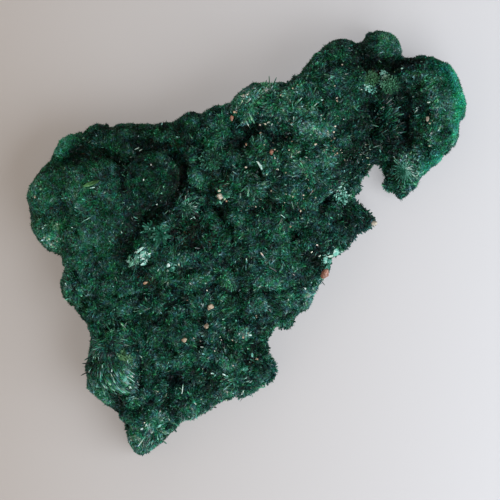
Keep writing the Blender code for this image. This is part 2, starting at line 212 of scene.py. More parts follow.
# crystals leaning out of a middle: (x, y, radius, strength)
SPRAYS = [
    (25.4, 12.0, 2.4, 0.9),
    (-9.3, 5.9, 1.9, 0.35),
    (-5.6, 13.4, 1.9, 0.20),
    (14.9, 8.0, 1.5, 0.35),
    (23.2, 25.2, 1.4, 0.3),
    (20.0, 26.5, 1.3, 0.3),
    (7.4, 4.4, 1.8, 0.3),
    (1.4, 9.4, 1.8, 0.3),
    (9.6, 11.6, 2.0, 0.3),
    (5.0, -3.4, 2.0, 0.2),
    (-1.2, 20.6, 2.2, 0.3),
    (2.6, 23.6, 2.2, 0.3),
    (8.2, 21.0, 2.2, 0.3),
]
# crystals lying the same way: (x, y, half length, half width, turn, way they point, strength)
STREAMS = [
    (-5.6, -25.4, 11.0, 1.8, 20, -70, 0.12),
    (11.6, -6.8, 1.6, 3.2, -28, -30, 0.2),
    (22.0, 19.6, 2.0, 3.4, 0, 40, 0.8),
    (19.0, 13.4, 1.6, 3.2, 0, 190, 0.7),
    (-21.6, -13.6, 2.4, 2.0, 0, 235, 0.35),
    (-13.6, -30.6, 2.6, 1.6, 45, -50, 0.4),
]
# narrow clefts, cut into the crust and darkened with painted shade: (points along it, half width, depth)
CLEFTS = [
    ([(-31.6, 12.4), (-29.6, 13.4), (-27.6, 14.0), (-26.2, 15.6), (-25.9, 17.6)], 0.7, 1.4),
    ([(-26.6, 15.0), (-23.4, 15.0), (-20.6, 13.8), (-19.4, 11.6), (-19.6, 8.6)], 0.6, 1.1),
    ([(-19.6, 15.6), (-15.4, 16.2), (-11.6, 15.2), (-10.2, 12.2), (-10.5, 8.6)], 0.9, 1.2),
    ([(-10.5, 8.6), (-12.2, 6.2), (-14.6, 4.6), (-17.4, 3.0), (-19.0, 0.4), (-19.6, -2.6)], 1.1, 1.4),
    ([(-34.6, 4.2), (-32.0, 4.6), (-29.6, 4.2)], 0.6, 0.6),
    ([(1.2, 18.6), (3.2, 17.6), (5.6, 17.2), (6.6, 15.8)], 0.6, 1.2),
    ([(-2.6, 18.8), (-1.6, 16.6), (0.4, 15.6)], 0.6, 1.0),
    ([(19.0, 22.0), (19.4, 18.0), (19.0, 14.4)], 0.7, 1.2),
    ([(17.2, 30.6), (19.4, 29.2), (22.4, 28.6), (25.8, 29.0), (27.0, 30.4)], 0.9, 1.6),
    ([(-27.0, -11.8), (-24.4, -13.2), (-21.4, -13.8)], 0.5, 0.6),
    ([(-17.6, -17.2), (-16.6, -20.4), (-17.4, -23.4)], 0.6, 0.9),
    ([(-21.0, -27.2), (-17.4, -26.6), (-15.0, -25.0)], 0.5, 0.8),
    ([(-7.0, -19.8), (-6.4, -22.4)], 0.5, 0.9),
    ([(-0.2, -15.6), (2.4, -16.8), (5.4, -16.4)], 0.6, 0.9),
]
# where the crust is thinner: patches whose strength is the share of the height left out
THIN_PATCHES = [
    (24.6, 9.2, 4.6, 3.4, 0, 0.34),
    (18.6, 8.6, 2.6, 5.0, 0, 0.34),
    (21.2, 13.4, 3.0, 2.6, 0, 0.30),
]
# hollows that the crystals filled: patches whose strength is the share of the depth filled, and the level
FILLS = [
    (-8.6, 1.8, 6.4, 4.4, 0, 0.55, 11.0),
    (-13.8, 5.0, 5.0, 2.8, 35, 0.80, 12.8),
    (-10.4, 10.6, 2.4, 4.8, -8, 0.70, 12.6),
    (-18.8, 0.8, 2.4, 4.8, -30, 0.75, 12.8),
    (-19.4, 12.4, 3.0, 4.8, 0, 0.85, 13.8),
    (-18.0, 15.4, 9.0, 2.4, 2, 0.60, 12.0),
    (-28.0, 14.4, 3.4, 1.8, 25, 0.60, 11.8),
    (1.4, 17.4, 4.4, 2.0, -10, 0.45, 12.4),
    (22.6, 19.0, 3.6, 5.6, 0, 0.30, 10.6),
    (23.0, 28.2, 3.6, 1.8, 0, 0.35, 10.6),
    (-17.0, -20.4, 1.8, 4.4, 0, 0.60, 11.2),
    (-21.4, -13.4, 4.4, 1.6, 0, 0.45, 10.8),
    (-5.0, 15.9, 3.2, 1.8, -8, 1.0, 11.2),
    (-4.3, 10.6, 1.8, 1.8, 0, 1.0, 11.4),
    (1.9, 11.2, 1.6, 1.6, 0, 1.0, 11.4),
    (-7.4, 8.0, 2.6, 2.0, -10, 1.0, 10.8),
    (-16.0, 3.2, 2.4, 2.2, 40, 1.0, 11.6),
    (-15.8, 0.2, 2.0, 1.8, 0, 1.0, 11.2),
    (2.4, -2.6, 1.8, 1.6, 0, 1.0, 11.2),
    (-3.4, 0.8, 2.6, 3.0, 0, 0.8, 11.0),
]
# places where the edge moves: (x, y, radius, along x, along y)
NUDGES = [
    (-22.0, 19.3, 2.4, 0.0, -0.25),
    (-33.4, 11.4, 2.6, 0.20, -0.15),
    (21.3, 12.0, 1.6, 0.0, 0.35),
    (23.6, 7.8, 1.6, 0.0, 0.25),
    (18.5, 6.1, 1.6, -0.25, 0.10),
    (13.8, -1.9, 1.6, -0.25, 0.15),
    (18.0, 0.8, 1.6, -0.25, 0.20),
    (4.6, -18.8, 1.8, -0.25, 0.0),
    (-25.8, -21.8, 2.0, 0.25, 0.0),
    (-31.2, -1.8, 2.0, -0.20, 0.0),
    (-28.8, -9.6, 1.8, -0.20, 0.0),
    (30.9, 29.8, 2.4, -0.10, -0.25),
    (-6.5, 21.5, 2.4, 0.0, -0.18),
    (-8.8, 20.8, 2.0, 0.0, 0.10),
    (-2.5, 22.6, 2.0, -0.05, 0.20),
    (33.9, 18.6, 2.4, -0.08, 0.0),
    (33.5, 16.0, 1.8, -0.15, 0.05),
    (-29.9, 16.8, 2.2, 0.20, -0.25),
    (32.2, 14.0, 2.4, -0.25, 0.20),
    (29.2, 11.4, 2.0, -0.10, 0.20),
    (19.4, 10.8, 2.0, -0.45, 0.10),
    (22.6, 8.0, 2.4, 0.20, 0.35),
    (18.3, 6.4, 2.2, -0.65, 0.10),
    (16.9, -0.5, 2.4, -0.30, 0.30),
    (13.1, -4.6, 2.2, -0.18, 0.11),
    (11.8, -7.8, 2.6, -0.30, 0.15),
    (8.4, -12.1, 2.2, -0.20, 0.30),
    (4.2, -16.8, 3.2, -0.40, 0.05),
    (3.7, -22.5, 2.2, -0.25, 0.20),
    (-29.5, -7.0, 2.4, -0.30, 0.0),
    (-25.6, -13.1, 2.4, -0.30, 0.0),
    (22.2, 11.0, 2.0, 0.60, 0.0),
    (9.6, 29.6, 3.6, 0.34, -0.47),
    (18.4, 9.6, 2.2, -0.35, 0.10),
    (18.6, 5.6, 2.0, -0.35, 0.0),
    (22.4, 9.6, 2.0, 0.30, 0.0),
    (21.2, 12.8, 1.8, 0.0, 0.45),
    (29.4, 11.0, 2.2, -0.25, 0.25),
    (32.8, 14.6, 2.2, -0.25, 0.20),
    (19.4, 1.8, 2.4, -0.35, 0.20),
    (14.6, -2.4, 2.4, -0.40, 0.20),
    (5.2, -13.8, 1.6, -0.1, 0.35),
    (4.6, -19.0, 3.0, -0.45, 0.10),
    (20.4, 33.8, 1.8, 0.0, 0.25),
    (29.2, 30.0, 2.4, 0.0, 0.25),
    (34.2, 26.0, 2.4, 0.25, 0.0),
    (35.0, 21.2, 2.4, 0.20, 0.0),
    (-34.6, 5.4, 4.6, -0.30, 0.0),
    (-25.4, -20.6, 4.6, -0.30, -0.05),
    (-22.0, 19.2, 4.0, 0.0, 0.20),
    (-17.2, -33.6, 1.6, 0.0, -0.20),
    (-1.4, -24.6, 2.4, 0.0, -0.35),
    (-6.4, -26.9, 2.4, 0.05, -0.30),
]
# small round swellings on the crust: (x, y, radius, height)
KNOBS = [
    (-15.2, 10.8, 4.5, 0.9),
    (-24.6, 9.4, 5.2, 0.9),
    (-31.6, 8.2, 3.4, 0.6),
    (-31.0, 0.6, 3.8, 0.6),
    (-24.6, 1.6, 4.0, 0.5),
    (23.2, 25.2, 1.5, 0.5),
    (20.0, 26.5, 1.4, 0.5),
    (25.3, 12.2, 2.2, 0.6),
    (14.9, 8.0, 1.4, 0.5),
    (-14.2, 1.4, 2.0, 0.6),
    (-28.9, 16.2, 2.5, 0.5),
    (-9.4, 19.6, 1.8, 0.6),
    (-6.0, 20.6, 1.7, 0.5),
]
# single plates and long blades lying on the crust, and chips of sand caught there; the palest ones are partly
# painted highlights that stand in for glints:
# (x, y, length, width, turn, shade, kind), where kind is 0 for aqua, 0.5 for yellow-green and 1 for cream
PLATES = [
    # the cluster on the east side
    (12.5, -2.5, 1.75, 1.05, 75, 0.60, 0),
    (13.5, -1.75, 1.15, 0.85, -30, 0.84, 0.2),
    (14.3, -1.3, 1.65, 1.05, 100, 0.64, 0),
    (13.8, -2.8, 1.30, 1.00, 40, 0.36, 0),
    (12.9, -3.7, 1.20, 0.90, 60, 0.26, 0),
    (13.1, -3.0, 1.10, 0.80, 10, 0.42, 0),
    (-25.3, 3.8, 2.00, 0.14, 30, 0.60, 0.1),
    (-24.4, 4.3, 0.90, 0.10, 40, 0.50, 0.1),
    (-19.6, 6.4, 0.80, 0.10, 20, 0.70, 0.2),
    (-18.6, 5.6, 0.70, 0.10, 60, 0.75, 0.1),
    (-17.9, 6.2, 0.60, 0.10, -40, 0.60, 0),
    (11.6, -1.9, 0.70, 0.30, 50, 0.95, 0.3),
    (10.4, -1.4, 0.50, 0.22, 45, 0.90, 0.8),
    # the cluster on the west side
    (-16.8, -1.0, 1.50, 0.42, 40, 0.85, 0),
    (-16.3, -1.7, 1.25, 1.00, 60, 0.74, 0),
    (-16.7, -2.1, 0.40, 0.30, 30, 1.00, 0),
    (-15.5, -1.7, 0.60, 0.25, 20, 0.95, 0.1),
    (-16.4, -3.1, 1.10, 0.60, 5, 0.80, 0),
    (-17.2, -2.7, 1.00, 0.70, 40, 0.36, 0.2),
    (-18.2, -3.2, 1.40, 0.60, 60, 0.40, 0.15),
    (-18.5, -2.3, 1.00, 0.55, 55, 0.25, 0.2),
    (-12.4, -3.4, 0.75, 0.65, 80, 0.95, 0),
    (-11.8, -3.9, 1.10, 0.80, 20, 0.20, 0),
    (-11.1, -3.4, 0.40, 0.25, 120, 0.80, 0),
    (-13.9, -4.2, 0.80, 0.18, 60, 0.95, 0),
    (-13.2, 1.2, 1.80, 1.10, -20, 0.12, 0.1),
    (-13.0, 1.8, 0.45, 0.30, 120, 0.95, 0),
    (-15.1, 2.2, 0.80, 0.25, 80, 0.70, 0),
    (-14.6, 2.3, 0.70, 0.22, 100, 0.55, 0),
    (-15.6, 1.9, 0.70, 0.20, 75, 0.85, 0),
    # chips and flakes on the west and south-west lobes
    (-24.6, 9.4, 2.90, 0.80, 17, 0.27, 0.5),
    (-24.3, 8.8, 0.95, 0.22, 12, 0.80, 0.0),
    (-23.2, 8.9, 0.60, 0.10, -50, 0.60, 0.0),
    (-30.1, 3.0, 0.55, 0.35, 10, 0.55, 0.3),
    (-32.6, 8.6, 0.45, 0.35, 60, 0.60, 0.3),
    (-25.9, 16.7, 0.50, 0.35, 0, 0.55, 0.3),
    (-17.4, 15.0, 0.90, 0.18, 30, 0.80, 0.1),
    (-16.8, 14.7, 0.60, 0.15, 35, 0.90, 0.1),
    (-16.2, 10.1, 0.40, 0.18, 80, 0.95, 0.1),
    (-14.2, 6.4, 0.35, 0.22, 20, 1.00, 0.1),
    (-19.5, -18.2, 2.60, 0.90, -22, 0.26, 0.42),
    (-19.4, -21.3, 1.50, 0.95, 100, 0.32, 0),
    (-18.4, -22.8, 0.60, 0.30, -50, 0.95, 0),
    (-21.4, -20.2, 0.50, 0.20, 80, 1.00, 0),
    (-22.8, -19.6, 0.80, 0.14, 95, 0.80, 0),
    (-23.4, -18.4, 0.70, 0.14, 95, 0.75, 0),
    (-16.7, -29.7, 0.60, 0.30, 40, 0.95, 0),
    (-15.9, -29.0, 0.50, 0.22, 70, 0.90, 0),
    (-13.9, -29.0, 0.90, 0.50, 40, 0.70, 0),
    (-13.4, -28.2, 0.70, 0.20, 60, 0.90, 0),
    # long thin blades in the middle and the south
    (2.2, 12.6, 1.60, 0.42, -58, 0.86, 0),
    (5.8, 4.3, 1.10, 0.14, -35, 0.85, 0),
    (-8.7, 4.1, 1.30, 0.14, 20, 0.80, 0),
    (-8.4, 4.2, 1.20, 0.13, -40, 0.75, 0),
    (-10.1, -23.3, 1.90, 0.17, 86, 0.88, 0.1),
    (-8.2, -25.6, 0.90, 0.18, -55, 1.00, 0.2),
    (-0.6, -23.8, 0.90, 0.22, 70, 1.00, 0.3),
    (0.0, -21.4, 0.90, 0.13, 35, 0.85, 0),
    (0.3, -21.9, 0.80, 0.13, 20, 0.80, 0),
    (0.5, -14.6, 0.80, 0.36, 5, 1.00, 0.1),
    (0.0, -14.3, 0.40, 0.30, 60, 0.60, 0),
    (0.9, -17.8, 0.90, 0.45, 100, 0.52, 0),
    (-0.2, -20.0, 1.20, 0.90, 20, 0.22, 0),
    (-5.3, -20.6, 0.70, 0.35, -20, 0.85, 0),
    (-4.9, -21.0, 0.50, 0.30, 60, 0.70, 0),
    (-3.5, -20.8, 0.80, 0.30, -30, 0.90, 0),
    (-3.0, -21.3, 0.50, 0.40, 40, 0.55, 0),
    (-7.0, -16.7, 0.70, 0.25, -10, 0.95, 0),
    (-6.6, -17.2, 0.50, 0.22, 40, 0.80, 0),
    (-7.4, -17.3, 0.50, 0.20, 80, 0.70, 0),
    # pale plates and chips round the east hollow and along the north, partly painted highlights where glints
    # are
    (3.7, 19.3, 0.70, 0.30, 15, 0.95, 0.2),
    (3.1, 19.0, 0.55, 0.28, -20, 0.80, 0.9),
    (4.2, 18.9, 0.45, 0.22, 50, 1.00, 0.1),
    (2.9, 19.7, 0.50, 0.20, 0, 0.70, 0.1),
    (5.2, 19.2, 0.30, 0.28, 0, 0.90, 1.0),
    (12.0, 22.8, 0.45, 0.32, 0, 1.00, 0.0),
    (29.0, 22.5, 0.40, 0.30, 20, 1.00, 0.1),
    (27.2, 21.2, 1.20, 0.20, 50, 0.80, 0),
    (25.0, 27.8, 0.50, 0.35, 0, 0.80, 0),
    (22.4, 26.5, 0.80, 0.35, -30, 0.90, 0.1),
    (19.4, 25.0, 0.70, 0.40, 10, 0.85, 0.1),
    (20.9, 25.9, 0.50, 0.22, 60, 0.70, 0),
    (19.7, 12.9, 0.70, 0.17, 165, 0.75, 0.6),
    (19.6, 13.9, 0.60, 0.16, 160, 0.80, 0.6),
    (19.3, 16.0, 0.70, 0.22, 10, 0.95, 0.6),
    (19.8, 15.2, 0.60, 0.16, 170, 0.80, 0.4),
    (21.6, 15.0, 0.35, 0.80, 20, 0.40, 0.0),
    (25.7, 14.2, 0.80, 0.22, 95, 0.80, 0),
    (27.0, 13.6, 0.70, 0.20, 50, 0.80, 0),
    # chips of sand
    (-4.2, 8.3, 0.55, 0.40, 20, 0.95, 0.7),
    (-3.5, 7.1, 0.50, 0.38, 70, 0.80, 0.6),
    (-3.2, 6.9, 0.40, 0.32, 0, 0.10, 1.0),
    (-1.8, 20.9, 0.50, 0.42, 20, 0.15, 1.0),
    (0.1, 15.7, 0.50, 0.30, 90, 0.10, 1.0),
    (5.6, 23.4, 0.34, 0.30, 0, 0.80, 1.0),
    (15.3, 28.3, 0.34, 0.30, 0, 0.85, 1.0),
    (14.2, 18.7, 0.45, 0.40, 0, 0.75, 1.0),
    (13.9, 17.7, 0.34, 0.30, 0, 0.90, 1.0),
    (11.0, 15.7, 0.50, 0.34, 20, 0.80, 1.0),
    (7.5, 10.6, 0.40, 0.30, 70, 0.85, 1.0),
    (7.5, 7.5, 0.42, 0.34, 0, 0.75, 1.0),
    (8.7, 5.2, 0.42, 0.32, 60, 0.60, 1.0),
    (10.0, 8.7, 0.34, 0.28, 0, 0.90, 1.0),
    (0.0, 12.0, 0.46, 0.40, 0, 0.95, 1.0),
    (2.3, 17.5, 0.42, 0.36, 60, 0.60, 1.0),
    (2.3, 18.8, 0.34, 0.30, 0, 0.85, 1.0),
    (4.1, 8.3, 0.34, 0.30, 0, 0.85, 1.0),
    (-16.0, -6.3, 0.90, 0.50, 20, 0.00, 1.0),
    (1.8, -18.6, 0.50, 0.40, 0, 0.45, 1.0),
    (-33.5, 7.4, 0.40, 0.30, 60, 0.40, 1.0),
    (29.3, 19.1, 0.40, 0.34, 0, 0.60, 1.0),
]
# round groups of blades: (x, y, radius, lift, blades, inner share, blade width over radius,
# darkest and lightest shade, brightest side in degrees, kind)
ROSETTES = [
    (25.5, 11.9, 2.50, 0.00, 76, 0.20, 0.055, 0.00, 1.00, 20, 0.05),
    (25.5, 12.0, 1.50, 0.20, 36, 0.10, 0.080, 0.05, 1.00, 30, 0.05),
    (-9.4, 5.8, 1.90, -0.05, 34, 0.25, 0.050, 0.00, 1.00, 40, 0.12),
    (-13.6, 1.4, 2.20, 0.05, 22, 0.10, 0.240, -0.06, 0.16, 0, 0.02),
    (-15.3, 2.4, 1.70, 0.05, 16, 0.10, 0.240, -0.06, 0.14, 120, 0.02),
]
# round groups of overlapping scales: (x, y, radius, lift, scales, scale size, darkest and lightest shade,
# how much lighter the rim is, its lightest side in degrees, kind)
SCALY = [
    (22.9, 25.3, 1.50, 0.42, 120, 0.42, 0.00, 0.16, 0.60, 140, 0.24),
    (19.9, 26.3, 1.35, 0.25, 105, 0.40, -0.04, 0.10, 0.34, 230, 0.34),
    (22.0, 26.9, 0.70, 0.40, 16, 0.42, 0.35, 0.85, 0.0, 0, 0.0),
    (21.4, 25.6, 0.50, 0.40, 8, 0.40, 0.25, 0.75, 0.0, 0, 0.0),
    (19.4, 24.9, 0.70, 0.35, 14, 0.40, 0.25, 0.80, 0.0, 0, 0.0),
    (20.3, 24.4, 0.55, 0.30, 9, 0.36, 0.20, 0.70, 0.0, 0, 0.0),
    (-5.7, 13.3, 1.80, 0.02, 90, 0.30, -0.10, 0.34, 0.10, 150, 0.10),
    (-16.5, -2.0, 1.15, 0.10, 24, 0.50, 0.40, 0.92, 0.0, 0, 0.0),
    (-17.9, -2.9, 0.80, 0.05, 12, 0.42, 0.25, 0.70, 0.0, 0, 0.14),
    (-12.1, -3.6, 0.80, 0.05, 12, 0.50, 0.15, 0.70, 0.0, 0, 0.0),
    (15.3, 7.4, 1.20, 0.10, 34, 0.55, 0.10, 0.62, 0.15, 60, 0.04),
    (-30.2, 2.7, 0.70, 0.05, 14, 0.42, 0.20, 0.55, 0.0, 0, 0.34),
    (12.9, -3.4, 1.10, 0.02, 20, 0.70, 0.05, 0.40, 0.0, 0, 0.04),
    (-19.6, -17.9, 0.90, 0.25, 14, 0.60, 0.14, 0.40, 0.0, 0, 0.40),
    (-18.4, -18.4, 0.70, 0.20, 12, 0.50, 0.16, 0.44, 0.0, 0, 0.36),
    (-18.9, -21.0, 0.90, 0.02, 14, 0.70, 0.05, 0.35, 0.0, 0, 0.12),
    (-18.6, -22.4, 0.70, 0.02, 10, 0.60, 0.10, 0.50, 0.0, 0, 0.06),
]
BASE_TONE = 0.413  # the shade of the crust where nothing changes it
TONE_LIMITS = (0.18, 0.9)
# painted light: the crust is made lighter near its outline
OUTLINE_PAINTED_LIGHT = 0.05  # how much lighter the crust is at its outline
# how much the shade changes: painted shade where the sky is hidden, painted light on the knobs' tops and
# painted shade between them by their height, from tuft to tuft, with the clouds, painted shade in the clefts
# and with the mottle of the smooth domes
SHADOW_SHADE, RELIEF_PAINTED_SHADING, TUFT_SHADE = 0.36, 0.10, 0.26
CLOUD_SHADE, CLEFT_PAINTED_SHADE, MOTTLE_SHADE = 0.45, 0.10, 0.15
WALL_DEPTH = 1.1  # how deep the side walls are hollowed between their swellings
FOOT_LEVEL = 0.12  # anything lower belongs to the sawn face
CUT_LEVEL = 0.15
CROWN_LEVEL = 14.6  # higher tops are pressed down towards this level
# the grid in plan that the heights and the outline are read from: mm a cell, cells a side, and its corner
GRID_CELL, GRID_SIDE, GRID_CORNER = 0.3, 270, 40
SKY_DIRECTIONS, OUTLINE_DIRECTIONS = 12, 16
FAR_INSIDE = 9.0  # stands for the distance to an outline that isn't near
# where one field of crystals gives way to the next
WEST_BORDER, WEST_SLANT, SOUTH_BORDER, EAST_BORDER = -11.5, 0.1, -6.0, 13.0

# ---------------------------------------------------------------------------------------------
# Small tools
# ---------------------------------------------------------------------------------------------


def link_object(name, data):
    obj = bpy.data.objects.new(name, data)
    bpy.context.scene.collection.objects.link(obj)
    return obj


def evaluated_mesh(obj, name):
    """The object's mesh with its modifiers applied, as a new plain mesh."""
    bpy.context.view_layer.update()
    graph = bpy.context.evaluated_depsgraph_get()
    mesh = bpy.data.meshes.new_from_object(obj.evaluated_get(graph))
    mesh.name = name
    return mesh


def in_fixed_order(mesh):
    """The same mesh with its points and faces in an order that depends on their places alone.

    A remesh runs on several threads and numbers its faces anew on each run, and the crystals are sown by
    those numbers.
    """
    places = np.zeros(len(mesh.vertices) * 3, np.float32)
    mesh.vertices.foreach_get("co", places)
    places = places.reshape(-1, 3)
    order = np.lexsort(places.T)
    rank = np.empty(len(order), int)
    rank[order] = np.arange(len(order))
    faces = []
    for polygon in mesh.polygons:
        corners = rank[list(polygon.vertices)].tolist()
        first = corners.index(min(corners))
        faces.append(corners[first:] + corners[:first])
    faces.sort()
    ordered = bpy.data.meshes.new(mesh.name)
    ordered.from_pydata(places[order].tolist(), [], faces)
    ordered.update()
    bpy.data.meshes.remove(mesh)
    return ordered


def set_attribute(mesh, name, values):
    """Stores one number for each point of the mesh."""
    layer = mesh.attributes.get(name) or mesh.attributes.new(name, "FLOAT", "POINT")
    layer.data.foreach_set("value", np.asarray(values, np.float32))


def get_attribute(mesh, name):
    """Reads back one number for each point of the mesh."""
    values = np.zeros(len(mesh.vertices), np.float32)
    mesh.attributes[name].data.foreach_get("value", values)
    return values.astype(float)


def set_directions(mesh, name, values):
    """Stores one direction for each point of the mesh."""
    layer = mesh.attributes.new(name, "FLOAT_VECTOR", "POINT")
    layer.data.foreach_set("vector", np.asarray(values, np.float32).ravel())


def points_of(mesh):
    values = np.zeros(len(mesh.vertices) * 3, np.float32)
    mesh.vertices.foreach_get("co", values)
    return values.reshape(-1, 3).astype(float)


def normals_of(mesh):
    values = np.zeros(len(mesh.vertices) * 3, np.float32)
    mesh.vertex_normals.foreach_get("vector", values)
    return values.reshape(-1, 3).astype(float)


def smoothstep(low, high, value):
    share = np.clip((value - low) / (high - low), 0, 1)
    return share * share * (3 - 2 * share)


def patch_sum(places, patches, softness=0.45):
    """Adds up soft-edged ellipses at places given in millimetres."""
    total = np.zeros(len(places))
    for x, y, long_half, short_half, turn, strength in patches:
        angle = math.radians(turn)
        dx, dy = places[:, 0] - x, places[:, 1] - y
        along = (dx * math.cos(angle) + dy * math.sin(angle)) / long_half
        across = (-dx * math.sin(angle) + dy * math.cos(angle)) / short_half
        reach = np.sqrt(along**2 + across**2)
        total += strength * (1 - smoothstep(1 - softness, 1 + softness, reach))
    return total


def grid_cells(places, margin=0):
    """The column and row of the plan grid that each place falls in, at least the margin from its border."""
    column = np.clip(((places[:, 0] + GRID_CORNER) / GRID_CELL).astype(int), margin, GRID_SIDE - 1 - margin)
    row = np.clip(((places[:, 1] + GRID_CORNER) / GRID_CELL).astype(int), margin, GRID_SIDE - 1 - margin)
    return column, row


def cells_beside(column, row, angle, reach):
    """The cells at a reach in mm and an angle from the given ones."""
    beside = np.clip(column + round(reach * math.cos(angle) / GRID_CELL), 0, GRID_SIDE - 1)
    ahead = np.clip(row + round(reach * math.sin(angle) / GRID_CELL), 0, GRID_SIDE - 1)
    return beside, ahead


def grid_tops(places, column, row):
    """The greatest height in each cell of the plan grid."""
    top = np.zeros((GRID_SIDE, GRID_SIDE))
    np.maximum.at(top, (column, row), places[:, 2])
    return top


def cleft_sum(places, deep=True):
    """How deep the clefts cut at each place, or with deep off how much of a cleft it lies in."""
    total = np.zeros(len(places))
    flat = places[:, :2]
    for line, half_width, depth in CLEFTS:
        nearest = np.full(len(places), 1e9)
        for start, end in zip(line, line[1:]):
            start, step = np.array(start), np.array(end) - np.array(start)
            share = np.clip(((flat - start) @ step) / (step @ step), 0, 1)
            nearest = np.minimum(nearest, np.linalg.norm(flat - start - share[:, None] * step, axis=1))
        cut = np.exp(-((nearest / half_width) ** 2))
        total = np.maximum(total, cut * (depth if deep else 1.0))
    return total


class Nodes:
    """Adds nodes to a tree and joins them, so that a tree reads from top to bottom."""

    def __init__(self, tree):
        self.tree = tree

    def add(self, kind, inputs=None, **settings):
        node = self.tree.nodes.new(kind)
        for name, value in settings.items():
            setattr(node, name, value)
        for name, value in (inputs or {}).items():
            self.feed(node.inputs[name], value)
        return node

    def feed(self, socket, value):
        if isinstance(value, bpy.types.NodeSocket):
            self.tree.links.new(value, socket)
        else:
            socket.default_value = value

    def math(self, operation, first, second=0.0, third=0.0, clamp=False):
        node = self.tree.nodes.new("ShaderNodeMath")
        node.operation = operation
        node.use_clamp = clamp
        for socket, value in zip(node.inputs, (first, second, third)):
            self.feed(socket, value)
        return node.outputs[0]

    def vector(self, operation, first, second=(0.0, 0.0, 0.0), scale=1.0):
        node = self.tree.nodes.new("ShaderNodeVectorMath")
        node.operation = operation
        self.feed(node.inputs[0], first)
        self.feed(node.inputs[1], second)
        if operation == "SCALE":
            self.feed(node.inputs["Scale"], scale)
        return node.outputs["Value" if operation in ("LENGTH", "DOT_PRODUCT") else "Vector"]

    def along(self, surface_normal, way):
        """The part of a direction that lies in the surface."""
        height = self.vector("DOT_PRODUCT", surface_normal, way)
        return self.vector("SUBTRACT", way, self.vector("SCALE", surface_normal, scale=height))

    def mix(self, share, low, high):
        node = self.tree.nodes.new("ShaderNodeMix")
        node.data_type = "FLOAT"
        for socket, value in zip((node.inputs[0], node.inputs[2], node.inputs[3]), (share, low, high)):
            self.feed(socket, value)
        return node.outputs[0]

    def mix_colour(self, share, low, high, blend="MIX"):
        node = self.tree.nodes.new("ShaderNodeMix")
        node.data_type = "RGBA"
        node.blend_type = blend
        for name, value in (("Factor", share), ("A", low), ("B", high)):
            self.feed([s for s in node.inputs if s.name == name and s.enabled][0], value)
        return node.outputs["Result"]

    def store(self, geometry, name, value, kind="FLOAT", domain="POINT"):
        inputs = {"Geometry": geometry, "Name": name, "Value": value}
        node = self.add("GeometryNodeStoreNamedAttribute", inputs, data_type=kind, domain=domain)
        return node.outputs[0]

    def stored(self, name, kind="FLOAT"):
        node = self.add("GeometryNodeInputNamedAttribute", data_type=kind)
        self.feed(node.inputs["Name"], name)
        return node.outputs[0]

    def ramp(self, value, stops):
        node = self.add("ShaderNodeValToRGB", {"Fac": value})
        ramp = node.color_ramp
        while len(ramp.elements) < len(stops):
            ramp.elements.new(0.5)
        for element, (place, colour) in zip(ramp.elements, stops):
            element.position = place
            element.color = (*colour, 1.0)
        return node.outputs["Color"]

    def noise(self, place, scale, detail=2.0, output=0):
        inputs = {"Vector": place, "Scale": scale, "Detail": detail}
        return self.add("ShaderNodeTexNoise", inputs).outputs[output]

    def cells(self, place, scale):
        return self.add("ShaderNodeTexVoronoi", {"Vector": place, "Scale": scale}).outputs

    def split(self, vector):
        return self.add("ShaderNodeSeparateXYZ", {"Vector": vector}).outputs

    def object_place(self):
        return self.add("ShaderNodeTexCoord").outputs["Object"]

    def on_mesh(self, name):
        """A number stored on the mesh, for a material."""
        return self.add("ShaderNodeAttribute", attribute_name=name).outputs["Fac"]

    def uv_pair(self):
        """The two numbers that a crystal's or a plate's UV map holds."""
        return self.split(self.add("ShaderNodeUVMap", uv_map="OFBake").outputs["UV"])

    def tinted(self, share, colour, mask, low, high):
        """The colour times a tint, which the mask moves from low to high."""
        return self.mix_colour(share, colour, self.mix_colour(mask, low, high), "MULTIPLY")

    def put_out(self, value):
        self.feed(self.add("NodeGroupOutput").inputs[0], value)

    def put_out_solid(self, geometry, material):
        """Ends a geometry tree: real meshes only, in their material."""
        solid = self.add("GeometryNodeRealizeInstances", {"Geometry": geometry}).outputs[0]
        inputs = {"Geometry": solid, "Material": material}
        self.put_out(self.add("GeometryNodeSetMaterial", inputs).outputs[0])


def new_tree(name, sockets):
    """A geometry tree with the given inputs, as (name, kind, value), and one geometry output."""
    tree = bpy.data.node_groups.new(name, "GeometryNodeTree")
    tree.is_modifier = True
    tree.interface.new_socket("Geometry", in_out="INPUT", socket_type="NodeSocketGeometry")
    for label, kind, value in sockets:
        socket = tree.interface.new_socket(label, in_out="INPUT", socket_type="NodeSocket" + kind)
        if value is not None:
            socket.default_value = value
    tree.interface.new_socket("Geometry", in_out="OUTPUT", socket_type="NodeSocketGeometry")
    return tree


def run_tree(source, tree, values, name):
    """Runs a geometry tree on a mesh and returns the result as a new plain mesh."""
    carrier = link_object("carrier", source)
    modifier = carrier.modifiers.new("grow", "NODES")
    modifier.node_group = tree
    for item in tree.interface.items_tree:
        if item.in_out == "INPUT" and item.name in values:
            modifier[item.identifier] = values[item.name]
    mesh = evaluated_mesh(carrier, name)
    bpy.data.objects.remove(carrier)
    return mesh


# ---------------------------------------------------------------------------------------------
# Materials
# ---------------------------------------------------------------------------------------------

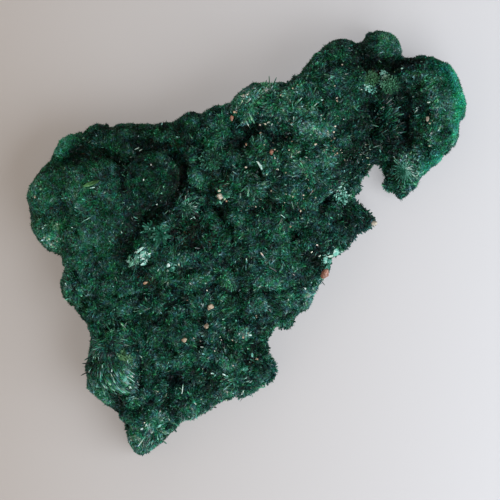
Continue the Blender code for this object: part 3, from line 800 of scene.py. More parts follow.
GREEN_STOPS = [
    (0.00, (0.0560, 0.0340, 0.0190)),
    (0.09, (0.0180, 0.0170, 0.0110)),
    (0.18, (0.0022, 0.0105, 0.0052)),
    (0.34, (0.0075, 0.0565, 0.0260)),
    (0.48, (0.0170, 0.1310, 0.0610)),
    (0.60, (0.0360, 0.2310, 0.1130)),
    (0.72, (0.0780, 0.3600, 0.1940)),
    (0.85, (0.2100, 0.5500, 0.4000)),
    (1.00, (0.6600, 0.8200, 0.7000)),
]
TEAL_STOPS = [
    (0.00, (0.0560, 0.0340, 0.0190)),
    (0.09, (0.0180, 0.0170, 0.0120)),
    (0.18, (0.0042, 0.0110, 0.0135)),
    (0.34, (0.0120, 0.0520, 0.0500)),
    (0.48, (0.0270, 0.1180, 0.1100)),
    (0.60, (0.0580, 0.2150, 0.1980)),
    (0.72, (0.1150, 0.3500, 0.3200)),
    (0.85, (0.3100, 0.5500, 0.5200)),
    (1.00, (0.6800, 0.8200, 0.8100)),
]
NO_TINT = (1.0, 1.0, 1.0, 1.0)
# the crystals' colour drifts between these two tints
COOL_TINT = (0.70, 0.98, 1.06, 1.0)
WARM_TINT = (1.45, 1.02, 0.88, 1.0)
# and between these two, from pure emerald to greyed
PURE_TINT = (0.52, 1.04, 0.76, 1.0)
GREY_TINT = (1.55, 0.96, 1.26, 1.0)
# the rim of the round east lobe and, more weakly, the knob in the north west are a purer green
RIM_TINT = (0.27, 1.14, 0.92, 1.0)
RIM_MIDDLE, RIM_RADIUS, RIM_WIDTH = (24.0 * MM, 21.0 * MM, 0.0), 8.4 * MM, 1.4 * MM
RIM_WEST_END, RIM_FADE = 26.8 * MM, 2 * MM
KNOB_MIDDLE, KNOB_RADIUS, KNOB_STRENGTH = (-29.6 * MM, 15.8 * MM, 0.0), 4.0 * MM, 0.6
SOUTH_TEAL, EAST_TEAL = 5.0, 5.0  # how much bluer the crystals get, per metre
SAWN_STOPS = [
    (0.35, (0.030, 0.070, 0.050)),
    (0.55, (0.060, 0.110, 0.075)),
    (0.70, (0.160, 0.130, 0.090)),
]
STAIN = (0.030, 0.021, 0.013, 1.0)
DARKEST_CRUST = 0.17


def new_material(name, roughness, ior=1.5, gloss=0.5):
    material = bpy.data.materials.new(name)
    material.use_nodes = True
    shader = material.node_tree.nodes["Principled BSDF"]
    shader.inputs["Roughness"].default_value = roughness
    shader.inputs["IOR"].default_value = ior
    shader.inputs["Specular IOR Level"].default_value = gloss
    return material, Nodes(material.node_tree), shader


def colour_group():
    """The crystals' colour for a shade from 0, stained brown, through black-green to 1, nearly white."""
    tree = bpy.data.node_groups.new("atacamite colour", "ShaderNodeTree")
    tree.interface.new_socket("Shade", in_out="INPUT", socket_type="NodeSocketFloat")
    tree.interface.new_socket("Color", in_out="OUTPUT", socket_type="NodeSocketColor")
    nodes = Nodes(tree)
    shade = nodes.add("NodeGroupInput").outputs["Shade"]
    place = nodes.object_place()
    parts = nodes.split(place)

    def soft_patches(scale, less):
        spread = nodes.math("MULTIPLY", nodes.noise(place, scale, 2.0), 4.0)
        return nodes.math("SUBTRACT", spread, less, clamp=True)

    def far_from(middle):
        """The distance in plan from a middle."""
        outward = nodes.vector("SUBTRACT", place, middle)
        return nodes.vector("LENGTH", nodes.vector("MULTIPLY", outward, (1.0, 1.0, 0.0)))

    # from green to teal by noise, and more teal to the south and the east
    wide = nodes.math("MULTIPLY", nodes.noise(place, 260.0, 2.0), 1.7)
    hue = nodes.math("ADD", wide, nodes.math("MULTIPLY", nodes.noise(place, 2100.0, 1.0), 3.4))
    hue = nodes.math("SUBTRACT", hue, nodes.math("MULTIPLY_ADD", parts["Y"], SOUTH_TEAL, 1.96))
    hue = nodes.math("MULTIPLY_ADD", parts["X"], EAST_TEAL, hue, clamp=True)
    colour = nodes.mix_colour(hue, nodes.ramp(shade, GREEN_STOPS), nodes.ramp(shade, TEAL_STOPS))
    colour = nodes.tinted(1.0, colour, soft_patches(1500.0, 1.6), COOL_TINT, WARM_TINT)
    # the palest crystals aren't greyed
    fades = nodes.math("MULTIPLY_ADD", shade, -3.0, 3.2, clamp=True)
    colour = nodes.tinted(fades, colour, soft_patches(1000.0, 1.5), PURE_TINT, GREY_TINT)
    # the purer green of the rim and the knob, weaker low on the walls
    east = nodes.math("MULTIPLY_ADD", parts["X"], 1 / RIM_FADE, -RIM_WEST_END / RIM_FADE, clamp=True)
    far = far_from(RIM_MIDDLE)
    rim = nodes.math("MULTIPLY_ADD", far, 1 / RIM_WIDTH, -RIM_RADIUS / RIM_WIDTH, clamp=True)
    far = far_from(KNOB_MIDDLE)
    knob = nodes.math("MULTIPLY_ADD", far, -1 / RIM_WIDTH, KNOB_RADIUS / RIM_WIDTH, clamp=True)
    knob = nodes.math("MULTIPLY", knob, KNOB_STRENGTH)
    rim = nodes.math("MAXIMUM", nodes.math("MULTIPLY", rim, east), knob)
    high = nodes.math("MULTIPLY_ADD", parts["Z"], 1 / (4 * MM), -1.2, clamp=True)
    rim = nodes.math("MULTIPLY", rim, nodes.math("MULTIPLY_ADD", high, 0.75, 0.25))
    nodes.put_out(nodes.tinted(1.0, colour, rim, NO_TINT, RIM_TINT))
    return tree


def crystal_material(name, colour_tree, roughness, root_painted_shade, tip_lift, gloss):
    """Glassy crystal: its UV map holds the shade across and the height along each crystal."""
    material, nodes, shader = new_material(name, roughness, 1.5, gloss)
    parts = nodes.uv_pair()
    lifted = nodes.math("MULTIPLY_ADD", nodes.math("POWER", parts["Y"], 2.0), tip_lift, parts["X"])
    colour = nodes.add("ShaderNodeGroup", node_tree=colour_tree)
    nodes.feed(colour.inputs["Shade"], lifted)
    # painted shade: each crystal is darker towards its root, where the crystals around it keep the light off
    rise = nodes.math("MULTIPLY_ADD", parts["Y"], 1.0 - root_painted_shade, root_painted_shade)
    nodes.feed(shader.inputs["Base Color"], nodes.mix_colour(1.0, colour.outputs["Color"], rise, "MULTIPLY"))
    return material


def crust_material(colour_tree):
    """The crust between the crystals, and the sawn face underneath."""
    material, nodes, shader = new_material("crust between crystals", 0.5, 1.5, 0.08)
    place = nodes.object_place()
    bend = nodes.vector("SCALE", nodes.noise(place, 3000.0, 1.0, "Color"), scale=0.12 * MM)
    cells = nodes.cells(nodes.vector("ADD", place, bend), 5600.0)
    each = nodes.split(cells["Color"])
    shade = nodes.math("MULTIPLY_ADD", each["X"], 0.34, -0.20)
    shade = nodes.math("MULTIPLY_ADD", cells["Distance"], -0.16, shade)
    # the crust's shade carries the painted light and painted shade stored on its points
    shade = nodes.math("MAXIMUM", nodes.math("ADD", nodes.on_mesh("tone"), shade), DARKEST_CRUST)
    colour = nodes.add("ShaderNodeGroup", node_tree=colour_tree)
    nodes.feed(colour.inputs["Shade"], shade)
    brown = nodes.math("MULTIPLY", nodes.on_mesh("brown"), 2.4)
    stained = nodes.math("MULTIPLY_ADD", nodes.math("SUBTRACT", each["Z"], 1.0), 2.0, brown, clamp=True)
    body = nodes.mix_colour(stained, colour.outputs["Color"], STAIN)
    sawn = nodes.ramp(nodes.noise(place, 220.0, 5.0), SAWN_STOPS)
    nodes.feed(shader.inputs["Base Color"], nodes.mix_colour(nodes.on_mesh("cut"), body, sawn))
    height = nodes.math("SUBTRACT", nodes.math("MULTIPLY", each["Y"], 0.8), cells["Distance"])
    bump = nodes.add("ShaderNodeBump", {"Strength": 0.7, "Distance": 0.12 * MM, "Height": height})
    nodes.feed(shader.inputs["Normal"], bump.outputs["Normal"])
    return material


SAND_STOPS = [
    (0.00, (0.34, 0.19, 0.12)),
    (0.14, (0.44, 0.31, 0.22)),
    (0.40, (0.52, 0.44, 0.34)),
    (0.70, (0.60, 0.55, 0.43)),
    (1.00, (0.74, 0.70, 0.60)),
]
AQUA_STOPS = [
    (0.00, (0.006, 0.052, 0.032)),
    (0.12, (0.012, 0.110, 0.070)),
    (0.35, (0.060, 0.230, 0.190)),
    (0.70, (0.190, 0.500, 0.420)),
    (1.00, (0.600, 0.740, 0.730)),
]
CHIP_STOPS = [
    (0.00, (0.016, 0.046, 0.016)),
    (0.12, (0.032, 0.095, 0.032)),
    (0.35, (0.080, 0.220, 0.085)),
    (0.70, (0.270, 0.400, 0.230)),
    (1.00, (0.620, 0.680, 0.560)),
]


def flake_material():
    """Thin pale plates: the UV map holds each plate's shade and its kind, from aqua over green to cream."""
    material, nodes, shader = new_material("pale aqua flakes", 0.30, 1.5, 0.10)
    parts = nodes.uv_pair()
    greener = nodes.math("MULTIPLY", parts["Y"], 2.0, clamp=True)
    creamier = nodes.math("MULTIPLY_ADD", parts["Y"], 2.0, -1.0, clamp=True)
    colour = nodes.mix_colour(greener, nodes.ramp(parts["X"], AQUA_STOPS), nodes.ramp(parts["X"], CHIP_STOPS))
    colour = nodes.mix_colour(creamier, colour, nodes.ramp(parts["X"], SAND_STOPS))
    cloud = nodes.noise(nodes.object_place(), 5000.0, 2.0)
    dim = nodes.math("MULTIPLY_ADD", cloud, 0.9, 0.5)
    nodes.feed(shader.inputs["Base Color"], nodes.mix_colour(1.0, colour, dim, "MULTIPLY"))
    return material


def sand_material():
    """Sand grains: the UV map's first number picks each grain's colour."""
    material, nodes, shader = new_material("quartz sand", 0.45, 1.54)
    parts = nodes.uv_pair()
    cloud = nodes.noise(nodes.object_place(), 4200.0, 3.0)
    dim = nodes.math("MULTIPLY_ADD", cloud, 0.8, 0.55)
    colour = nodes.ramp(parts["X"], SAND_STOPS)
    nodes.feed(shader.inputs["Base Color"], nodes.mix_colour(1.0, colour, dim, "MULTIPLY"))
    return material


def grain_material(name, light, middle, dark, roughness=0.35):
    """Worn quartz: cloudy, with darker stains in its pits."""
    material, nodes, shader = new_material(name, roughness, 1.54)
    place = nodes.object_place()
    cloud = nodes.noise(place, 1500.0, 5.0)
    pits = nodes.cells(place, 3600.0)["Distance"]
    mixed = nodes.math("MULTIPLY_ADD", pits, 0.22, nodes.math("SUBTRACT", cloud, 0.10))
    colour = nodes.ramp(mixed, [(0.34, light), (0.48, middle), (0.66, dark)])
    nodes.feed(shader.inputs["Base Color"], colour)
    bump = nodes.add("ShaderNodeBump", {"Strength": 0.5, "Distance": 0.08 * MM, "Height": cloud})
    nodes.feed(shader.inputs["Normal"], bump.outputs["Normal"])
    return material


FLOOR_COLOUR = (0.24, 0.24, 0.25, 1.0)
# painted light: the floor glows, more brightly to the east as if lit from there, and its glow lifts the shadows
# on it; the glow at its west and at its east, and the width over which it changes
WEST_PAINTED_GLOW, EAST_PAINTED_GLOW, PAINTED_GLOW_WIDTH = (0.180, 0.150, 0.125, 1.0), (0.380, 0.395, 0.425, 1.0), 0.08


def floor_material():
    """A pale floor with painted light: it glows, slowly more brightly from west to east."""
    material, nodes, shader = new_material("floor with painted glow", 0.55)
    shader.inputs["Base Color"].default_value = FLOOR_COLOUR
    across = nodes.split(nodes.object_place())["X"]
    share = nodes.math("MULTIPLY_ADD", across, 1 / PAINTED_GLOW_WIDTH, 0.5, clamp=True)
    painted_glow = nodes.mix_colour(share, WEST_PAINTED_GLOW, EAST_PAINTED_GLOW)
    nodes.feed(shader.inputs["Emission Color"], painted_glow)
    shader.inputs["Emission Strength"].default_value = 1.0
    return material


# ---------------------------------------------------------------------------------------------
# The crust under the crystals
# ---------------------------------------------------------------------------------------------

CRUST_VOXEL = 0.30
DOME_SMOOTHNESS = 0.12


def crust_tree():
    """Sinks the crust by the crystals' length and raises knobs and tufts on it."""
    tree = new_tree(
        "grow knobs",
        [
            ("Sink", "Float", 0.18 * MM),
            ("Knob Size", "Float", 2.6 * MM),
            ("Knob Height", "Float", 1.7 * MM),
            ("Tuft Size", "Float", 0.95 * MM),
            ("Tuft Height", "Float", 0.6 * MM),
            ("Wave Height", "Float", 0.35 * MM),
            ("Material", "Material", None),
        ],
    )
    nodes = Nodes(tree)
    given = nodes.add("NodeGroupInput").outputs
    place = nodes.add("GeometryNodeInputPosition").outputs[0]
    normal = nodes.add("GeometryNodeInputNormal").outputs[0]
    rough = nodes.stored("rough")

    def domes(size):
        """Height of rounded swellings, and their own number and the way out of their middles."""
        scaled = nodes.vector("SCALE", place, scale=nodes.math("DIVIDE", 1.0, size))
        inputs = {"Vector": scaled, "Scale": 1.0, "Smoothness": DOME_SMOOTHNESS}
        round_cells = nodes.add("ShaderNodeTexVoronoi", inputs, feature="SMOOTH_F1").outputs
        height = nodes.math("SUBTRACT", 0.5, nodes.math("POWER", round_cells["Distance"], 1.8))
        nearest = nodes.cells(scaled, 1.0)
        own = nodes.split(nearest["Color"])[0]
        return height, own, nodes.vector("SUBTRACT", scaled, nearest["Position"])

    knob, knob_own, knob_way = domes(given["Knob Size"])
    tuft, tuft_own, tuft_way = domes(given["Tuft Size"])
    relief = nodes.math("MULTIPLY", knob, given["Knob Height"])
    relief = nodes.math("MULTIPLY_ADD", tuft, given["Tuft Height"], relief)
    wave = nodes.math("SUBTRACT", nodes.noise(place, 180.0), 0.5)
    own = nodes.math("ADD", nodes.math("MULTIPLY", knob_own, 0.45), nodes.math("MULTIPLY", tuft_own, 0.55))
    kept = nodes.store(given["Geometry"], "relief", nodes.math("MULTIPLY", relief, rough))
    kept = nodes.store(kept, "own", own)
    kept = nodes.store(kept, "cloud", nodes.noise(place, 430.0, 3.0))
    flow = nodes.vector("SUBTRACT", nodes.noise(place, 420.0, 1.0, "Color"), (0.5, 0.5, 0.5))
    kept = nodes.store(kept, "flow", nodes.vector("NORMALIZE", flow), "FLOAT_VECTOR")
    kept = nodes.store(kept, "outward", nodes.vector("ADD", tuft_way, knob_way), "FLOAT_VECTOR")
    full = nodes.math("MULTIPLY_ADD", relief, rough, nodes.math("MULTIPLY", wave, given["Wave Height"]))
    sink = nodes.math("MULTIPLY", given["Sink"], rough)
    rise = nodes.math("MULTIPLY", nodes.math("SUBTRACT", full, sink), nodes.stored("lift"))
    offset = nodes.vector("SCALE", normal, scale=rise)
    moved = nodes.add("GeometryNodeSetPosition", {"Geometry": kept, "Offset": offset})
    nodes.put_out_solid(moved.outputs[0], given["Material"])
    return tree


def roughness_at(places):
    """1 where the crystals stand in knobs and tufts, and nearly 0 on the smooth domes."""
    return 1 - 0.86 * np.clip(patch_sum(places, VELVET_PATCHES, 0.35), 0, 1)


def make_crust(node, material):
    """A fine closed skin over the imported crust, with the numbers that its crystals grow by."""
    source = node.data.copy()
    bm = bmesh.new()
    bm.from_mesh(source)
    bmesh.ops.remove_doubles(bm, verts=bm.verts, dist=1e-7)
    bm.to_mesh(source)
    bm.free()
    carrier = link_object("carrier", source)
    fine = carrier.modifiers.new("fine", "REMESH")
    fine.mode = "VOXEL"
    fine.voxel_size = CRUST_VOXEL * MM
    soft = carrier.modifiers.new("soft", "SMOOTH")
    soft.factor = 0.5
    soft.iterations = 6
    mesh = in_fixed_order(evaluated_mesh(carrier, "crust"))
    bpy.data.objects.remove(carrier)
    places = points_of(mesh) / MM
    upward = smoothstep(0.1, 0.6, normals_of(mesh)[:, 2])
    for x, y, long_half, short_half, turn, share, level in FILLS:
        share = patch_sum(places, [(x, y, long_half, short_half, turn, share)])
        places[:, 2] += upward * share * np.maximum(level - places[:, 2], 0)
    for x, y, radius, along_x, along_y in NUDGES:
        share = 1 - smoothstep(0.3, 1.0, np.hypot(places[:, 0] - x, places[:, 1] - y) / radius)
        places[:, 0] += along_x * share
        places[:, 1] += along_y * share
    for x, y, radius, height in KNOBS:
        far = np.hypot(places[:, 0] - x, places[:, 1] - y) / radius
        places[:, 2] += height * upward * np.sqrt(np.clip(1 - far**2, 0, 1))
    places[:, 2] *= 1 - np.clip(patch_sum(places, THIN_PATCHES), 0, 0.36)
    places[:, 2] -= 0.6 * cleft_sum(places) * upward * smoothstep(1.0, 3.0, places[:, 2])
    places[:, 2] = np.where(places[:, 2] < FOOT_LEVEL, 0.0, places[:, 2])
    places = carve_walls(mesh, places)
    mesh.vertices.foreach_set("co", (places * MM).astype(np.float32).ravel())
    up = smoothstep(0.1, 0.7, normals_of(mesh)[:, 2])
    set_attribute(mesh, "rough", roughness_at(places) * (0.25 + 0.75 * up))
    set_attribute(mesh, "lift", smoothstep(0.2, 1.6, places[:, 2]))
    grown = run_tree(mesh, crust_tree(), {"Material": material}, "crystal_crust_skin")
    places = points_of(grown) / MM
    over = np.maximum(places[:, 2] - CROWN_LEVEL, 0)
    places[:, 2] = np.maximum(places[:, 2] - over + np.tanh(over), 0.0)
    grown.vertices.foreach_set("co", (places * MM).astype(np.float32).ravel())
    grown.update()
    store_growth(grown, places)
    flatten_underside(grown)
    return grown


def carve_walls(mesh, places):
    """Hollows the side walls between swellings, and never beyond the outline."""
    normals = normals_of(mesh)
    column, row = grid_cells(places, 1)
    top = grid_tops(places, column, row)
    shoulder = np.zeros(len(places))
    for across in (-1, 0, 1):
        for ahead in (-1, 0, 1):
            shoulder = np.maximum(shoulder, top[column + across, row + ahead])
    wall = smoothstep(0.45, 0.1, normals[:, 2]) * smoothstep(0.4, 1.4, places[:, 2])
    wall *= smoothstep(1.2, 2.8, shoulder - places[:, 2])
    carved = places.copy()
    for k in np.nonzero(wall > 0)[0]:
        x, y, z = places[k]
        wide = noise.noise((x / 3.1, y / 3.1, z / 2.4 + 7.0))
        fine = noise.noise((x / 1.3, y / 1.3, z / 1.1 + 3.0))
        depth = WALL_DEPTH * max(0.35 + 1.1 * wide + 0.5 * fine, 0.0) * wall[k]
        carved[k, :2] -= depth * normals[k, :2]
    return carved


def flatten_underside(mesh):
    """Joins the many small faces of the sawn underside, in the order of their numbers."""
    bm = bmesh.new()
    bm.from_mesh(mesh)
    low = {v for v in bm.verts if v.co.z < 1e-6}
    inner = [v for v in bm.verts if v in low and all(e.other_vert(v) in low for e in v.link_edges)]
    faces = sorted({f for v in inner for f in v.link_faces}, key=lambda f: f.index)
    bmesh.ops.dissolve_faces(bm, faces=faces, use_verts=False)
    bmesh.ops.triangulate(bm, faces=[f for f in bm.faces if len(f.verts) > 4])
    bm.to_mesh(mesh)
    bm.free()


def open_sky(places):
    """The share of sky that each place on the crust sees, by its height against the heights around it."""
    column, row = grid_cells(places)
    top = grid_tops(places, column, row)
    seen = np.zeros(len(places))
    for k in range(SKY_DIRECTIONS):
        steepest = np.zeros(len(places))
        for reach in (0.5, 0.9, 1.4, 2.1, 3.2, 4.8):
            beside = cells_beside(column, row, 2 * math.pi * k / SKY_DIRECTIONS, reach)
            steepest = np.maximum(steepest, (top[beside] - places[:, 2]) / reach)
        seen += 1 / (1 + steepest**2)
    return seen / SKY_DIRECTIONS


def way_out(places):
    """How far each place is from the outline in mm, if that is near, and the way out to it."""
    column, row = grid_cells(places)
    filled = np.zeros((GRID_SIDE, GRID_SIDE), bool)
    filled[column, row] = True
    gap = np.full(len(places), FAR_INSIDE)
    way = np.zeros((len(places), 2))
    for k in range(OUTLINE_DIRECTIONS):
        angle = 2 * math.pi * k / OUTLINE_DIRECTIONS
        for reach in (0.6, 1.0, 1.4, 1.8, 2.2, 2.6, 3.0, 3.4):
            free = ~filled[cells_beside(column, row, angle, reach)]
            gap = np.where(free, np.minimum(gap, reach), gap)
            way[free] += (math.cos(angle), math.sin(angle))
    length = np.linalg.norm(way, axis=1, keepdims=True)
    return gap, way / np.maximum(length, 1e-6)


def lean_of(places):
    """The way the crystals are combed at each place, as horizontal directions no longer than 1."""
    lean = np.zeros((len(places), 3))
    for x, y, inner, outer, start, end, strength in SWIRLS:
        dx, dy = places[:, 0] - x, places[:, 1] - y
        far = np.hypot(dx, dy)
        middle = math.radians((start + end) / 2)
        off = np.abs((np.arctan2(dy, dx) - middle + math.pi) % (2 * math.pi) - math.pi)
        share = 1 - smoothstep(math.radians(end - start) / 2 - 0.3, math.radians(end - start) / 2, off)
        share *= smoothstep(inner - 0.8, inner, far) * (1 - smoothstep(outer - 0.8, outer, far)) * strength
        lean[:, 0] += share * -dy / np.maximum(far, 0.1)
        lean[:, 1] += share * dx / np.maximum(far, 0.1)
    for x, y, radius, strength in SPRAYS:
        dx, dy = places[:, 0] - x, places[:, 1] - y
        far = np.hypot(dx, dy)
        share = strength * (1 - smoothstep(radius * 0.8, radius * 1.15, far)) * smoothstep(0, radius * 0.5, far)
        lean[:, 0] += share * dx / np.maximum(far, 0.1)
        lean[:, 1] += share * dy / np.maximum(far, 0.1)
    for x, y, long_half, short_half, turn, way, strength in STREAMS:
        share = patch_sum(places, [(x, y, long_half, short_half, turn, strength)])
        lean[:, 0] += share * math.cos(math.radians(way))
        lean[:, 1] += share * math.sin(math.radians(way))
    return lean / np.maximum(np.linalg.norm(lean, axis=1, keepdims=True), 1.0)


def store_growth(mesh, places):
    """Stores the shade with its painted light and painted shade, the stains and where and how the crystals grow
    at each point of the crust.
    """
    height, upright = places[:, 2], normals_of(mesh)[:, 2]
    velvet = (1 - roughness_at(places)) * (0.4 + 0.6 * smoothstep(4.5, 8.5, height))
    # painted light and painted shade from the patches, mixed with the crystals' own lighter and darker colour
    patches = patch_sum(places, LIGHTER_AND_PAINTED_LIGHT_PATCHES) - patch_sum(places, DARKER_AND_PAINTED_SHADE_PATCHES)
    patches *= 0.4 + 0.6 * smoothstep(2.5, 8.0, height)
    tone = BASE_TONE + patches * (0.3 + 0.7 * smoothstep(-0.2, 0.35, upright))
    gap, outward = way_out(places)
    near = 1 - smoothstep(0.6, 2.6, gap)
    # painted shade where the heights around hide the sky, less near the outline
    tone -= SHADOW_SHADE * (1 - open_sky(places)) * (1 - 0.75 * near)
    # painted light near the outline
    tone += OUTLINE_PAINTED_LIGHT * near
    # painted light on the knobs' tops and painted shade between them
    tone += RELIEF_PAINTED_SHADING * np.clip(get_attribute(mesh, "relief") / MM, -1.2, 0.8)
    tone += (get_attribute(mesh, "own") - 0.5) * (TUFT_SHADE + 0.04 * (1 - velvet))
    tone += (get_attribute(mesh, "cloud") - 0.5) * CLOUD_SHADE
    # painted shade in the clefts
    tone -= CLEFT_PAINTED_SHADE * cleft_sum(places, False)
    mottle = [noise.noise(place / 1.1) + 0.6 * noise.noise(place / 0.5) for place in map(Vector, places)]
    tone += MOTTLE_SHADE * velvet * np.array(mottle)
    set_attribute(mesh, "brown", np.clip(patch_sum(places, BROWN_PATCHES), 0, 0.9))
    set_attribute(mesh, "tone", np.clip(tone, *TONE_LIMITS))
    set_attribute(mesh, "pale", np.clip(patch_sum(places, PALE_AND_GLINT_PATCHES), 0, 1))
    set_attribute(mesh, "velvet", velvet)
    set_attribute(mesh, "cut", (height < CUT_LEVEL) & (upright < -0.6))
    edge = smoothstep(0.75, 0.35, upright)
    jagged = np.clip(patch_sum(places, JAGGED_PATCHES), 0, 1)
    set_attribute(mesh, "short", edge * (1 - jagged))

    # crystals grow above the foot, and are sparse under the plates and rosettes that are set on the crust
    grows = smoothstep(0.3, 1.2, height)
    lean = lean_of(places)
    under = [(x, y, 0.6 * long, 0.6 * wide, turn, 1) for x, y, long, wide, turn, *_ in PLATES]
    under += [(x, y, radius, radius, 0, 0.9) for x, y, radius, *_ in SCALY]
    hidden = np.clip(patch_sum(places, under, 0.15), 0, 1)
    under = [(x, y, 0.6 * radius, 0.6 * radius, 0, 0.8) for x, y, radius, *_ in ROSETTES]
    covered = np.clip(hidden + patch_sum(places, under, 0.15), 0, 1)
    steep = smoothstep(0.85, 0.5, upright) * smoothstep(-0.3, 0.1, upright)
    set_attribute(mesh, "toothed", grows * jagged * steep)
    # combed crystals that would lean out over the outline are left out
    leaving = np.clip(1.4 * (lean[:, :2] * outward).sum(axis=1), 0, 1) * (1 - smoothstep(1.8, 3.6, gap))
    combed = grows * np.linalg.norm(lean, axis=1) * (1 - 0.95 * leaving)
    set_attribute(mesh, "combed", combed * (1 - 0.85 * hidden))
    grows = grows * (1 - 0.85 * covered)
    set_directions(mesh, "lean", lean)
    west = places[:, 0] < WEST_BORDER + WEST_SLANT * places[:, 1]
    south = places[:, 1] < SOUTH_BORDER
    middle = places[:, 0] < EAST_BORDER
    set_attribute(mesh, "grows_west", grows * (west & ~south))
    set_attribute(mesh, "grows_south", grows * south)
    set_attribute(mesh, "grows_middle", grows * (~west & ~south & middle))
    set_attribute(mesh, "grows_east", grows * (~west & ~south & ~middle))
    set_attribute(mesh, "grows", grows)
    facing_up = smoothstep(0.0, 0.4, upright)
    set_attribute(mesh, "flaky", facing_up * np.clip(patch_sum(places, FLAKE_PATCHES, 0.2), 0, 1))
    set_attribute(mesh, "sandy", facing_up * np.clip(patch_sum(places, SAND_PATCHES), 0, 1))


STORED_ON_CRUST = (
    "rough lift relief own cloud flow outward tone brown pale velvet cut short lean "
    "grows_west grows_south grows_middle grows_east grows combed toothed flaky sandy shade height"
).split()

# ---------------------------------------------------------------------------------------------
# Crystals
# ---------------------------------------------------------------------------------------------


def crystal_shape(name, sides, flat, rings, tip):
    """One crystal of unit length: rings are (height, radius), and tip is the ridge's half length at the top,
    0 for a point, and below 0 for a slanted flat end."""
    mesh = bpy.data.meshes.new(name)
    bm = bmesh.new()
    layers = []
    for height, radius in rings:
        ring = []
        for k in range(sides):
            angle = 2 * math.pi * (k + 0.5) / sides
            ring.append(bm.verts.new((radius * math.cos(angle), radius * flat * math.sin(angle), height)))
        layers.append(ring)
    for low, high in zip(layers, layers[1:]):
        for k in range(sides):
            bm.faces.new((low[k], low[(k + 1) % sides], high[(k + 1) % sides], high[k]))
    top = layers[-1]
    if tip < 0:
        for k, vert in enumerate(top):
            vert.co.z += 0.14 * (k == 0) - 0.16 * (k == 1)
        bm.faces.new(top)
    elif tip:
        right, left = bm.verts.new((tip, 0, 1.0)), bm.verts.new((-tip, 0, 1.0))
        nearest = [right if vert.co.x > 0 else left for vert in top]
        for k in range(sides):
            following = (k + 1) % sides
            corners = [top[k], top[following], nearest[following]]
            if nearest[k] is not nearest[following]:
                corners.append(nearest[k])
            bm.faces.new(corners)
    else:
        apex = bm.verts.new((0.45, 0, 1.0))
        for k in range(sides):
            bm.faces.new((top[k], top[(k + 1) % sides], apex))
    bm.to_mesh(mesh)
    bm.free()
    set_attribute(mesh, "height", [vert.co.z for vert in mesh.vertices])
    return link_object(name, mesh)


PEBBLE_PLANES = 9


def pebble_shape(name, seed):
    """A worn grain one unit long, resting a little in the crust."""
    mesh = bpy.data.meshes.new(name)
    bm = bmesh.new()
    bmesh.ops.create_icosphere(bm, subdivisions=2, radius=0.5)
    draw = random.Random(seed)
    planes = []
    for _ in range(PEBBLE_PLANES):
        way = Vector((draw.gauss(0, 1), draw.gauss(0, 1), draw.gauss(0, 1))).normalized()
        planes.append((way, draw.uniform(0.33, 0.44)))
    for vert in bm.verts:
        for way, limit in planes:
            over = vert.co.dot(way) - limit
            if over > 0:
                vert.co -= way * over * 0.85
        vert.co.x *= 0.8
        vert.co.z += 0.3
    bm.to_mesh(mesh)
    bm.free()
    set_attribute(mesh, "height", [1.0] * len(mesh.vertices))
    return link_object(name, mesh)


FLOOR_CLEARANCE = 0.03 * MM


